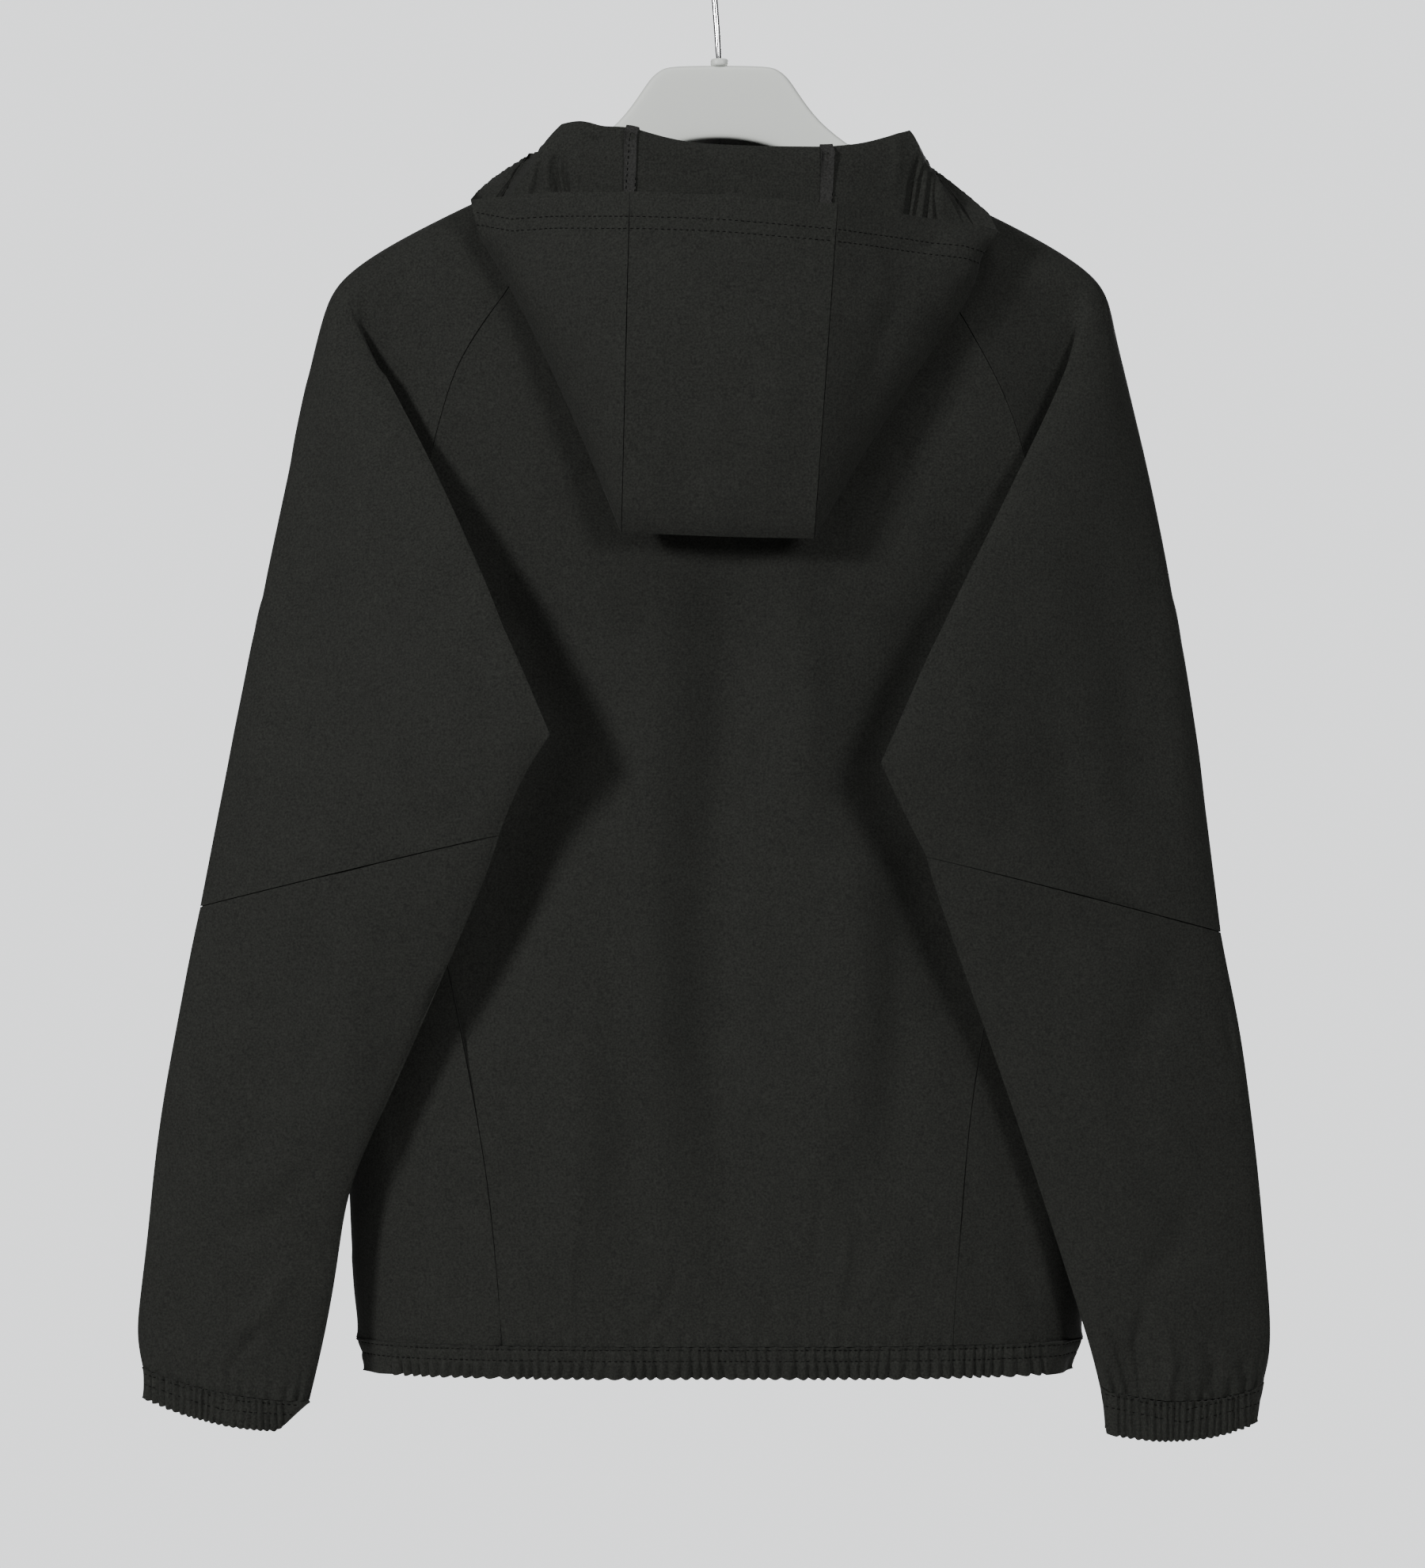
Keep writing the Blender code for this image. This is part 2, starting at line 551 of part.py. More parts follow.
def tube_ring(side, row):
    """A closed ring of the free sleeve: front seam, outer edge, inner edge, underarm."""
    outer_x, outer_y, outer_z, inner_x, inner_y, inner_z, dip = row
    outer = Vector((side * outer_x, outer_y, outer_z))
    inner = Vector((side * inner_x, inner_y, inner_z))
    out = flat_normal(inner, outer)

    def near(share):
        drop = Vector((0.0, 0.0, -dip * lens(share)))
        return inner.lerp(outer, share) + out * NEAR_BULGE * lens(share) + drop

    def far(share):
        rise = Vector((0.0, 0.0, 0.5 * dip * lens(share)))
        return inner.lerp(outer, share) - out * FAR_BULGE * lens(share) + rise

    ring = [far(share) for share in FAR_FRONT_SHARES]
    ring.append(outer)
    ring += [near(share) for share in NEAR_SHARES]
    ring.append(inner)
    ring += [far(share) for share in FAR_BACK_SHARES]
    ring += [far(share) for share in FAR_UNDER_SHARES]
    return ring


def underarm_points(side, seam_x):
    """The two points between the back and the front end of the underarm."""
    start = section_angle(seam_x, BODY_HALF_WIDTH)
    arc = arc_row(side, start, 2.5, BODY_HALF_WIDTH, -44.0, 49.0, UNDERARM_Z, 3)
    return arc[1:3]


def sleeve_rings(side):
    """All rings of a sleeve, and the number of the first closed one."""
    folds = FOLD_LEFT if side < 0 else FOLD_RIGHT
    rows = SLEEVE_LEFT if side < 0 else SLEEVE_RIGHT
    rings = [yoke_ring(side, row, k / 4) for k, row in enumerate(YOKE)]
    rings += [fold_ring(side, row) for row in folds]
    closed_from = len(rings) - 1
    top = rings[-1] + underarm_points(side, folds[-1][7])
    top_outer = Vector((side * folds[-1][1], folds[-1][2], UNDERARM_Z))
    for row in rows:
        ring = tube_ring(side, row)
        below = (UNDERARM_Z - row[5]) / UNDERARM_REACH
        if below < 1:
            own = below ** 0.6
            move = Vector((side * row[0], row[1], row[2])) - top_outer
            ring = [(high + Vector((move.x * 0.3, 0, move.z))).lerp(low, own)
                    for high, low in zip(top, ring)]
            for k in (4, 9):
                ring[k] = tube_ring(side, row)[k]
        rings.append(ring)
    return rings, closed_from, top


def in_ring_order(side, ring):
    return list(ring) if side < 0 else list(reversed(ring))


def build_shell():
    """The shell below the neck: back, sides, fronts and sleeves, sewn along their seams."""
    shell = Cloth()
    side_names = {-1: "left", 1: "right"}
    sleeves = {}
    for side, name in side_names.items():
        rings, closed_from, top = sleeve_rings(side)
        sleeves[side] = rings
        elbow = closed_from + 1 + ELBOW_ROW
        open_rows = [in_ring_order(side, ring) for ring in rings[:closed_from + 1]]
        shell.rows("sleeve_upper_" + name, open_rows)
        tube = [top] + rings[closed_from + 1:]
        tube = [in_ring_order(side, ring + ring[:1]) for ring in tube]
        shell.rows("sleeve_upper_" + name, tube[:elbow - closed_from + 1])
        shell.rows("sleeve_lower_" + name, tube[elbow - closed_from:])

    levels = len(YOKE) + len(FOLD_LEFT)
    chest_y = [46, 47, 48, 48.5, 49] + [49] * len(FOLD_LEFT)
    centre_y = [-38, -38.8, -39.5, -40, -40.5]
    centre_y += [-mix(40.5, 44.0, smooth((-237.0 - row[0]) / 193.0)) for row in FOLD_LEFT]
    centre_z = [row[8] for row in YOKE] + [row[0] for row in FOLD_LEFT]
    chest_z = [row[9] for row in YOKE] + [row[0] for row in FOLD_LEFT]
    back_rows = []
    front_rows = {-1: [], 1: []}
    for k in range(levels):
        left = sleeves[-1][k][-1]
        right = sleeves[1][k][-1]
        if k == levels - 1:
            left = left + Vector((CORNER_GAP, 0, 0))
            right = right - Vector((CORNER_GAP, 0, 0))
        back_rows.append(back_row(left, right, centre_y[k], centre_z[k]))
        for side in side_names:
            seam = sleeves[side][k][0]
            row = front_row(side, seam, chest_y[k], chest_z[k])
            if k == levels - 1:
                row = underarm_front(side, seam)
            front_rows[side].append(row)
    side_rows = {-1: [], 1: []}
    for z, left_x, right_x, front_angle, half_width, back_y, chest in BODY:
        seams = {}
        for side, seam_x in ((-1, left_x), (1, right_x)):
            back_angle = section_angle(seam_x, half_width)
            arc = arc_row(side, back_angle, front_angle, half_width, back_y, chest, z,
                          SIDE_COLUMNS)
            side_rows[side].append(arc)
            seams[side] = arc[0]
            end = -section_angle(ZIP_HALF_OPENING, half_width)
            front = arc_row(side, front_angle, end, half_width, back_y, chest, z,
                            FRONT_COLUMNS)
            front[-1].x = side * ZIP_HALF_OPENING
            front_rows[side].append(list(reversed(front)))
        back_rows.append(back_row(seams[-1], seams[1], back_y, z))

    shell.rows("back_panel", back_rows)
    for side, name in side_names.items():
        front = front_rows[side]
        shell.rows("front_" + name, front if side < 0 else [row[::-1] for row in front])
        panel = side_rows[side]
        shell.rows("side_panel_" + name, [row[::-1] for row in panel] if side < 0 else panel)
    body_end = front_rows[-1][-1] + side_rows[-1][-1][::-1][1:] + back_rows[-1][1:]
    body_end += side_rows[1][-1][1:] + front_rows[1][-1][::-1][1:]
    neck_ring = front_rows[-1][0] + in_ring_order(-1, sleeves[-1][0])[1:] + back_rows[0][1:]
    neck_ring += in_ring_order(1, sleeves[1][0])[1:] + front_rows[1][0][::-1][1:]
    return shell, sleeves, body_end, front_rows, neck_ring


# ---- gathered bands ------------------------------------------------------------------
def split_ring(ring, parts):
    """The ring with each stretch cut into equal parts."""
    fine = []
    for a, b in zip(ring, ring[1:]):
        fine += [a.lerp(b, k / parts) for k in range(parts)]
    fine.append(ring[-1])
    return fine


def gathered_band(node, top, bottom, waves_end, closed):
    """An elastic band between two rings, with its gathers deepest along the open edge."""
    cloth = Cloth()
    levels = (0.0, 0.5, 1.0)
    rows = []
    for share in levels:
        row = []
        for k, (high, low) in enumerate(zip(top, bottom)):
            before = top[k - 1] if k or not closed else top[-2]
            after = top[(k + 1) % len(top)] if k + 1 < len(top) or not closed else top[1]
            along = Vector((after.x - before.x, after.y - before.y, 0.0)).normalized()
            outward = Vector((along.y, -along.x, 0.0))
            swing = WAVE_DEPTH * (1 if k % 2 else -1) * share
            if not closed and (k < 2 or k > len(top) - 3):
                swing = 0.0
            uneven = 0.7 + 0.3 * math.sin(k * 1.7)
            row.append(high.lerp(low, share) + outward * swing * uneven)
        if closed:
            row[-1] = row[0]
        rows.append(row)
    cloth.rows(node, rows)
    return cloth.wall(node, BAND, "elastic")


def build_hem(body_end):
    top = [place + Vector((0, 0, -BAND_GAP)) for place in body_end]
    bottom = []
    for place in body_end:
        pull = Vector((place.x, place.y * 0.6, 0.0)).normalized() * HEM_PULL
        share = smooth((abs(place.x) - 1.6 * ZIP_TAPE_EDGE) / 60.0) if place.y > 0 else 1.0
        bottom.append(place + Vector((0, 0, -HEM_DROP)) - pull * share)
    gathered_band("hem_band", split_ring(top, HEM_WAVES), split_ring(bottom, HEM_WAVES),
                  True, False)


def build_cuff(side, name, last_ring):
    ring = in_ring_order(side, last_ring + last_ring[:1])
    end = CUFF_END_LEFT if side < 0 else CUFF_END_RIGHT
    low = tube_ring(side, end)
    low = in_ring_order(side, low + low[:1])
    down = Vector((0, 0, -BAND_GAP))
    top = split_ring([place + down for place in ring], 2)
    gathered_band("cuff_" + name, top, split_ring(low, 2), True, True)


# ---- hood ----------------------------------------------------------------------------
COLLAR_SHARES = (0, 0.1, 0.2, 0.26, 0.32, 0.42, 0.5, 0.58, 0.62, 0.66, 0.7, 0.78, 0.86, 0.93, 1)
FAR_WALL_SHARES = (0.25, 0.5, 0.75)
NEAR_WALL_SHARES = (0.27, 0.55, 0.8)
BACKWARD = Vector((0, -1, 0))


def rib_points(rib, neck_ring):
    """One rib of the hood as the same fifteen stations for every rib."""
    neck_number, crown, turn, edge, pocket = rib
    neck = neck_ring[neck_number] + Vector((0, 0, HOOD_LIFT))
    edge = Vector(edge)
    if crown is None:
        return [neck.lerp(edge, share) for share in COLLAR_SHARES]
    crown = Vector(crown)
    turn = Vector(turn)
    away = Vector((turn.x - neck.x, turn.y - neck.y, 0.0)).normalized()
    radius = CROWN_RADIUS * mix(0.6, 1.0, pocket)
    crown_in = crown - away * radius + Vector((0, 0, -radius))
    crown_out = crown + away * radius + Vector((0, 0, -radius))
    rise = TURN_RISE * mix(0.4, 1.0, pocket)
    apart = BACKWARD * TURN_RADIUS * pocket
    turn_far = turn + (crown_out - turn).normalized() * rise - apart
    turn_near = turn + (edge - turn).normalized() * rise + apart
    stations = [neck, neck.lerp(crown_in, 0.55), crown_in, crown, crown_out]
    stations += [crown_out.lerp(turn_far, share) for share in FAR_WALL_SHARES]
    stations += [turn_far, turn, turn_near]
    for share in NEAR_WALL_SHARES:
        out = NEAR_WALL_OUT * math.sin(math.pi * share) ** 0.8 * smooth(2 * pocket - 1)
        stations.append(turn_near.lerp(edge, share) + BACKWARD * out)
    stations.append(edge)
    return stations


def build_hood(neck_ring):
    hood = Cloth()
    ribs = [rib_points(rib, neck_ring) for rib in HOOD_RIBS]
    parts = (("hood_side_left", 0, HOOD_LEFT_SEAM),
             ("hood_centre", HOOD_LEFT_SEAM, HOOD_RIGHT_SEAM),
             ("hood_side_right", HOOD_RIGHT_SEAM, len(ribs) - 1))
    for node, first, last in parts:
        rows = [[ribs[c][r] for c in range(first, last + 1)] for r in range(len(ribs[0]))]
        hood.rows(node, rows[::-1])
    for node, _, _ in parts:
        hood.wall(node, CLOTH, "shell")
    build_hood_tape("hood_tape_left", ribs, HOOD_LEFT_SEAM)
    build_hood_tape("hood_tape_right", ribs, HOOD_RIGHT_SEAM)


TAPE_FIRST = 1         # stations of the rib that the binding runs between
TAPE_LAST = 7


def build_hood_tape(node, ribs, seam):
    """A binding that covers a seam on the hood's inside, from the neck into the pocket."""
    tape = Cloth()
    rows = []
    for r in range(TAPE_FIRST, TAPE_LAST + 1):
        here = ribs[seam][r]
        down = (ribs[seam][r + 1] - ribs[seam][r - 1]).normalized()
        left = (ribs[seam - 1][r] - here).normalized()
        right = (ribs[seam + 1][r] - here).normalized()
        inside = down.cross((right - left).normalized()).normalized()
        lift = inside * (CLOTH / 2 + TAPE / 2 + 0.4)
        rows.append([here + lift + left * TAPE_HALF_WIDTH, here + lift,
                     here + lift + right * TAPE_HALF_WIDTH])
    tape.rows(node, rows)
    tape.wall(node, TAPE, "tape")


# ---- zip -----------------------------------------------------------------------------
def zip_line(front_rows):
    """Points down the middle of the closed zip, from the collar's top to the hem."""
    collar_top = Vector((0, 48.0, -139.5))
    collar_foot = Vector((0, 46.0, -215.0))
    line = [collar_top.lerp(collar_foot, k / 4) for k in range(5)]
    line += [Vector((0, row[0].y, row[0].z)) for row in front_rows[-1][1:]]
    line.append(line[-1] + Vector((0, 0, -HEM_DROP)))
    return line


def strip(node, line, left, right, inward, thick, finish):
    cloth = Cloth()
    rows = [[Vector((right, p.y - inward, p.z)), Vector((left, p.y - inward, p.z))]
            for p in line]
    cloth.rows(node, rows)
    return cloth.wall(node, thick, finish)


def build_zip(front_rows):
    line = zip_line(front_rows)
    behind = CLOTH / 2 + 0.4 + TAPE / 2 + 0.6
    strip("zip_tape_left", line, -ZIP_TAPE_EDGE, -0.3, behind, TAPE, "zip")
    strip("zip_tape_right", line, 0.3, ZIP_TAPE_EDGE, behind, TAPE, "zip")
    strip("zip_chain", line, -ZIP_CHAIN_HALF, ZIP_CHAIN_HALF, 0.2, 1.8, "zip")


def bevel_box(node, size, place, bevel, finish):
    build = bmesh.new()
    bmesh.ops.create_cube(build, size=1.0)
    for vert in build.verts:
        vert.co = Vector((vert.co.x * size[0], vert.co.y * size[1], vert.co.z * size[2]))
        vert.co = (vert.co + Vector(place)) * MM
    bmesh.ops.bevel(build, geom=build.edges[:], offset=bevel * MM, segments=2,
                    affect="EDGES", profile=0.5)
    mesh = bpy.data.meshes.new(node)
    build.to_mesh(mesh)
    build.free()
    return add_object(node, mesh, finish)


def build_slider_and_pull():
    """The slider at the collar, and the pull tab that swings on its bridge."""
    slider_y = SLIDER_BACK_Y + SLIDER_SIZE[1] / 2
    bevel_box("zip_slider", SLIDER_SIZE, (0.0, slider_y, SLIDER_Z), 1.2, "zip")
    pin_y = slider_y + SLIDER_SIZE[1] / 2 + PULL_THICK / 2 + 0.4
    middle = (0.0, pin_y, SLIDER_Z + 3.0 - PULL_LENGTH / 2 + PULL_PIN_RADIUS)
    bevel_box("zip_pull_tab", (PULL_WIDTH, PULL_THICK, PULL_LENGTH), middle, 0.5, "zip")
    return pin_y


# ---- hanger --------------------------------------------------------------------------
def hanger_outline():
    """Half of the hanger's outline, from the top of its head round to its arch."""
    top = [(x, z) for x, z in reversed(HANGER_HEAD)]
    for row in YOKE[:-1]:
        top.append((row[0], row[1] - HANGER_DROP))
    tip_z = mix(YOKE[3][1], YOKE[4][1], (HANGER_TIP_X - YOKE[3][0]) / 17.0) - HANGER_DROP
    top.append((HANGER_TIP_X - 4.0, tip_z + 1.0))
    top.append((HANGER_TIP_X, tip_z - 4.0))
    top.append((HANGER_TIP_X, tip_z - 16.0))
    top.append((HANGER_TIP_X - 6.0, tip_z - ARM_DEPTH + 2.0))
    top.append((HANGER_TIP_X - 16.0, tip_z - ARM_DEPTH + 1.0))
    for row in reversed(YOKE[1:3]):
        top.append((row[0] - 6.0, row[1] - HANGER_DROP - ARM_DEPTH))
    top += [place for place in reversed(HANGER_ARCH)]
    return top


def build_hanger():
    half = hanger_outline()
    outline = half + [(-x, z) for x, z in reversed(half[:-1])]
    build = bmesh.new()
    front = [build.verts.new((x * MM, -HANGER_THICK / 2 * MM, z * MM)) for x, z in outline]
    back = [build.verts.new((x * MM, HANGER_THICK / 2 * MM, z * MM)) for x, z in outline]
    build.faces.new(front)
    build.faces.new(back[::-1])
    count = len(outline)
    for k in range(count):
        after = (k + 1) % count
        build.faces.new((front[k], back[k], back[after], front[after]))
    bmesh.ops.recalc_face_normals(build, faces=build.faces[:])
    rims = [edge for edge in build.edges
            if abs(edge.verts[0].co.y - edge.verts[1].co.y) < 1e-6]
    bmesh.ops.bevel(build, geom=rims, offset=HANGER_BEVEL * MM, segments=2,
                    affect="EDGES", profile=0.5, clamp_overlap=True)
    bmesh.ops.triangulate(build, faces=build.faces[:])
    mesh = bpy.data.meshes.new("hanger_body")
    build.to_mesh(mesh)
    build.free()
    add_object("hanger_body", mesh, "plastic")


def hook_route():
    """The wire from the hanger's boss up to the crown and round to its free end."""
    radius = HOOK_RADIUS + HOOK_WIRE_RADIUS
    head_z = HANGER_HEAD[-1][1]
    centre = Vector((0.0, 0.0, -HOOK_RADIUS))
    first = math.radians(HOOK_START_ANGLE)
    turn = math.radians(HOOK_START_ANGLE - HOOK_END_ANGLE)
    foot = Vector((0.0, 0.0, head_z + 0.4))
    bend = Vector((HOOK_STEM_TOP[0], 0.0, HOOK_STEM_TOP[1]))
    joint = centre + Vector((math.cos(first), 0, math.sin(first))) * radius
    leave = (bend - foot).normalized() * HOOK_SWAY[0]
    arrive = Vector((-math.sin(first), 0, math.cos(first))) * HOOK_SWAY[1]
    controls = (bend, bend + leave, joint + arrive, joint)
    route = [foot, foot.lerp(bend, 0.5)]
    for k in range(8):
        t = k / 8
        weights = ((1 - t) ** 3, 3 * t * (1 - t) ** 2, 3 * t * t * (1 - t), t ** 3)
        route.append(sum((c * w for c, w in zip(controls, weights)), Vector()))
    for k in range(HOOK_STEPS + 1):
        angle = first - turn * k / HOOK_STEPS
        route.append(centre + Vector((math.cos(angle), 0, math.sin(angle))) * radius)
    return route


def build_hook():
    wire = bpy.data.curves.new("hanger_hook", "CURVE")
    wire.dimensions = "3D"
    wire.bevel_depth = HOOK_WIRE_RADIUS * MM
    wire.bevel_resolution = 2
    wire.use_fill_caps = True
    spline = wire.splines.new("POLY")
    route = hook_route()
    spline.points.add(len(route) - 1)
    for point, place in zip(spline.points, route):
        point.co = (*(place * MM), 1.0)
    made = bpy.data.objects.new("hanger_hook", wire)
    wire.materials.append(finish_material("hanger_hook", "chrome"))
    bpy.context.scene.collection.objects.link(made)


def main():
    clear_scene()
    shell, sleeves, body_end, front_rows, neck_ring = build_shell()
    for panel in sorted(set(shell.panel_of_face)):
        shell.wall(panel, CLOTH, "shell")
    build_hem(body_end)
    for side, name in ((-1, "left"), (1, "right")):
        build_cuff(side, name, sleeves[side][-1])
    build_hood(neck_ring)
    build_zip(front_rows)
    build_slider_and_pull()
    build_hanger()
    build_hook()


main()
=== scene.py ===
# %% [markdown]
# A hooded windbreaker on a clothes hanger, seen from the back. Every cut piece of cloth is
# taken from its plain solid, made finer, and given its hanging folds, creases and gathers.

# %% Start
import math

import bmesh
import bpy
import numpy as np
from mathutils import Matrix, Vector, noise
from mathutils.bvhtree import BVHTree


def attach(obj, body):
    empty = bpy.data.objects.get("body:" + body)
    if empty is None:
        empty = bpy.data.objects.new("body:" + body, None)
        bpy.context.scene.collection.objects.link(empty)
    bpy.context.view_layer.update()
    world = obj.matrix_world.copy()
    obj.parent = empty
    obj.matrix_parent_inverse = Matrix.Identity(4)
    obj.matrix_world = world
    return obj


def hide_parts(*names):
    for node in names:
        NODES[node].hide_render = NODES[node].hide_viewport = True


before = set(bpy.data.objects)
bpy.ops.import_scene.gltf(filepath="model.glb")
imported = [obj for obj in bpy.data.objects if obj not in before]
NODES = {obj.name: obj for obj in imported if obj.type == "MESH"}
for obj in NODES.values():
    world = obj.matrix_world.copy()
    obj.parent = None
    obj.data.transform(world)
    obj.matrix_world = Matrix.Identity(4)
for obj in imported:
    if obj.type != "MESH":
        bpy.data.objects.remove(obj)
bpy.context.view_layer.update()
MM = 0.001

# %% [markdown]
# The sizes used all over the jacket, in millimetres.

# %% Sizes
STITCH_LENGTH = 2.0
STITCH_PITCH = 3.2
THREAD_RADIUS = 0.24
TOOTH_PITCH = 2.6
HEM_TOP_Z = -849.0
HEM_ROWS_Z = (-851.2, -857.6)     # the band's two rows of stitches
WALL_STEP = 0.0024    # metres; a ray that starts this far out has left its own wall
BAND_RIM = 0.62       # how far a band's top rim moves out to meet the cloth above it
SIDE_RIM = 0.4        # and the same for the side panels' edges, and for the fronts'
FRONT_RIM = 0.45
COLLAR_LIFT = 3.0     # how far the collar's top stands above the plain solids
NECK_MIDDLE_X = 10.0

# %% [markdown]
# The shell is a thin matt polyester weave. Its colour is nearly black, and shifts a little from
# place to place as light catches the threads. The weave is a fine bump with small flecks.


# %% Cloth finish
def link(material, start, end):
    material.node_tree.links.new(start, end)


def new_material(name, color, roughness, metallic=0.0):
    material = bpy.data.materials.new(name)
    material.use_nodes = True
    shader = material.node_tree.nodes["Principled BSDF"]
    shader.inputs["Base Color"].default_value = (*color, 1.0)
    shader.inputs["Roughness"].default_value = roughness
    shader.inputs["Metallic"].default_value = metallic
    return material, shader


def add_noise(material, place, scale, detail):
    clouds = material.node_tree.nodes.new("ShaderNodeTexNoise")
    clouds.inputs["Scale"].default_value = scale
    clouds.inputs["Detail"].default_value = detail
    link(material, place, clouds.inputs["Vector"])
    return clouds.outputs["Fac"]


def cloth_material(name, color, weave_mm, bump, crumple):
    """Woven cloth: crossed waves for the threads, two uneven bumps, and flecks of colour."""
    material, shader = new_material(name, color, 0.85)
    shader.inputs["Sheen Weight"].default_value = 0.03
    shader.inputs["Sheen Roughness"].default_value = 0.5
    shader.inputs["Specular IOR Level"].default_value = 0.12
    tree = material.node_tree
    place = tree.nodes.new("ShaderNodeTexCoord").outputs["Object"]
    threads = tree.nodes.new("ShaderNodeMath")
    threads.operation = "MULTIPLY"
    for number, direction in enumerate(("X", "Z")):
        wave = tree.nodes.new("ShaderNodeTexWave")
        wave.bands_direction = direction
        wave.inputs["Scale"].default_value = 1.0 / (weave_mm * MM) / 20
        wave.inputs["Distortion"].default_value = 0.4
        wave.inputs["Detail"].default_value = 1.0
        link(material, place, wave.inputs["Vector"])
        link(material, wave.outputs["Fac"], threads.inputs[number])
    uneven = add_noise(material, place, 260.0, 4.0)
    soft = add_noise(material, place, 38.0, 3.0)
    flecks = add_noise(material, place, 900.0, 1.0)
    normal = None
    for height, strength, distance in (
        (threads.outputs[0], bump, 0.0002), (uneven, crumple, 0.0006), (soft, crumple, 0.002),
    ):
        layer = tree.nodes.new("ShaderNodeBump")
        layer.inputs["Strength"].default_value = strength
        layer.inputs["Distance"].default_value = distance
        link(material, height, layer.inputs["Height"])
        if normal is not None:
            link(material, normal, layer.inputs["Normal"])
        normal = layer.outputs["Normal"]
    link(material, normal, shader.inputs["Normal"])
    mixed = tree.nodes.new("ShaderNodeMath")
    mixed.operation = "MULTIPLY_ADD"
    mixed.inputs[1].default_value = 0.14
    link(material, soft, mixed.inputs[0])
    link(material, flecks, mixed.inputs[2])
    shade = tree.nodes.new("ShaderNodeMapRange")
    for end, value, share in (("Min", 0.32, 0.55), ("Max", 0.82, 1.45)):
        shade.inputs["From " + end].default_value = value
        shade.inputs["To " + end].default_value = share
    link(material, mixed.outputs[0], shade.inputs["Value"])
    tint = tree.nodes.new("ShaderNodeVectorMath")
    tint.operation = "SCALE"
    tint.inputs[0].default_value = color
    link(material, shade.outputs["Result"], tint.inputs["Scale"])
    link(material, tint.outputs["Vector"], shader.inputs["Base Color"])
    return material


SHELL_COLOR = (0.0120, 0.0126, 0.0109)
shell_cloth = cloth_material("shell_cloth", SHELL_COLOR, 0.5, 0.35, 0.22)
band_cloth = cloth_material("band_cloth", (0.0128, 0.0134, 0.0116), 0.5, 0.35, 0.30)
seam_binding = cloth_material("seam_binding", (0.017, 0.017, 0.016), 0.7, 0.30, 0.10)
zip_cloth = cloth_material("zip_cloth", (0.012, 0.012, 0.0115), 0.9, 0.60, 0.10)
# The thread is the thread's own black, painted darker than the cloth as painted shade standing
# in for the shadow in the stitch holes.
thread_painted_shade, thread_shader = new_material("thread_painted_shade", (0.0035, 0.0035, 0.0035), 0.95)
thread_shader.inputs["Specular IOR Level"].default_value = 0.05
zip_plastic, _ = new_material("zip_plastic", (0.014, 0.014, 0.014), 0.38)
hanger_plastic, _ = new_material("hanger_plastic", (0.56, 0.58, 0.55), 0.45)
hook_chrome, _ = new_material("hook_chrome", (0.72, 0.72, 0.73), 0.18, 1.0)
print("finishes", len(bpy.data.materials))

# %% [markdown]
# Every piece starts as its own plain solid. The corners of the loose triangles are welded, the
# triangles are joined to quads, the rim keeps its edges, and the faces are divided smoothly.


# %% From a plain solid to fine cloth
def choose(piece):
    bpy.ops.object.select_all(action="DESELECT")
    piece.select_set(True)
    bpy.context.view_layer.objects.active = piece


def keep_corners(piece, turn_degrees):
    """Keeps the corners where two creased edges meet at an angle."""
    mesh = piece.data
    if "crease_edge" not in mesh.attributes:
        return
    creased = mesh.attributes["crease_edge"].data
    meeting = {}
    for edge in mesh.edges:
        if creased[edge.index].value > 0.9:
            for a, b in (edge.vertices, reversed(edge.vertices)):
                meeting.setdefault(a, []).append(b)
    corners = mesh.attributes.new("crease_vert", "FLOAT", "POINT").data
    for k, others in meeting.items():
        if len(others) == 2:
            here = mesh.vertices[k].co
            before, after = (mesh.vertices[j].co - here for j in others)
            if math.degrees(math.pi - before.angle(after)) > turn_degrees:
                corners[k].value = 1.0


def fine_copy(node, name, levels, material, rim_degrees=62, corner_degrees=38):
    """A welded, finely divided copy of one plain solid."""
    piece = bpy.data.objects.new(name, NODES[node].data.copy())
    bpy.context.scene.collection.objects.link(piece)
    choose(piece)
    if piece.data.has_custom_normals:
        bpy.ops.mesh.customdata_custom_splitnormals_clear()
    bpy.ops.object.mode_set(mode="EDIT")
    bpy.ops.mesh.select_all(action="SELECT")
    bpy.ops.mesh.remove_doubles(threshold=1e-6)
    bpy.ops.mesh.mark_sharp(clear=True)
    bpy.ops.mesh.tris_convert_to_quads(face_threshold=math.radians(50),
                                       shape_threshold=math.radians(80))
    bpy.ops.mesh.select_all(action="DESELECT")
    bpy.ops.mesh.select_mode(type="EDGE")
    bpy.ops.mesh.edges_select_sharp(sharpness=math.radians(rim_degrees))
    bpy.ops.transform.edge_crease(value=1.0)
    bpy.ops.object.mode_set(mode="OBJECT")
    keep_corners(piece, corner_degrees)
    if levels:
        finer = piece.modifiers.new("finer", "SUBSURF")
        finer.levels = levels
        finer.render_levels = levels
        bpy.ops.object.modifier_apply(modifier=finer.name)
    bpy.ops.object.shade_smooth_by_angle(angle=math.radians(50))
    piece.data.materials.clear()
    piece.data.materials.append(material)
    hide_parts(node)
    return piece


def read_points(piece):
    """Places and normals of a mesh, in millimetres."""
    count = len(piece.data.vertices)
    places = np.empty(count * 3)
    normals = np.empty(count * 3)
    piece.data.vertices.foreach_get("co", places)
    piece.data.vertices.foreach_get("normal", normals)
    return places.reshape(-1, 3) / MM, normals.reshape(-1, 3)


def write_points(piece, places):
    piece.data.vertices.foreach_set("co", (places * MM).ravel())
    piece.data.update()


def tree_of(piece):
    mesh = piece.data
    mesh.calc_loop_triangles()
    return BVHTree.FromPolygons([v.co for v in mesh.vertices],
                                [tuple(t.vertices) for t in mesh.loop_triangles])


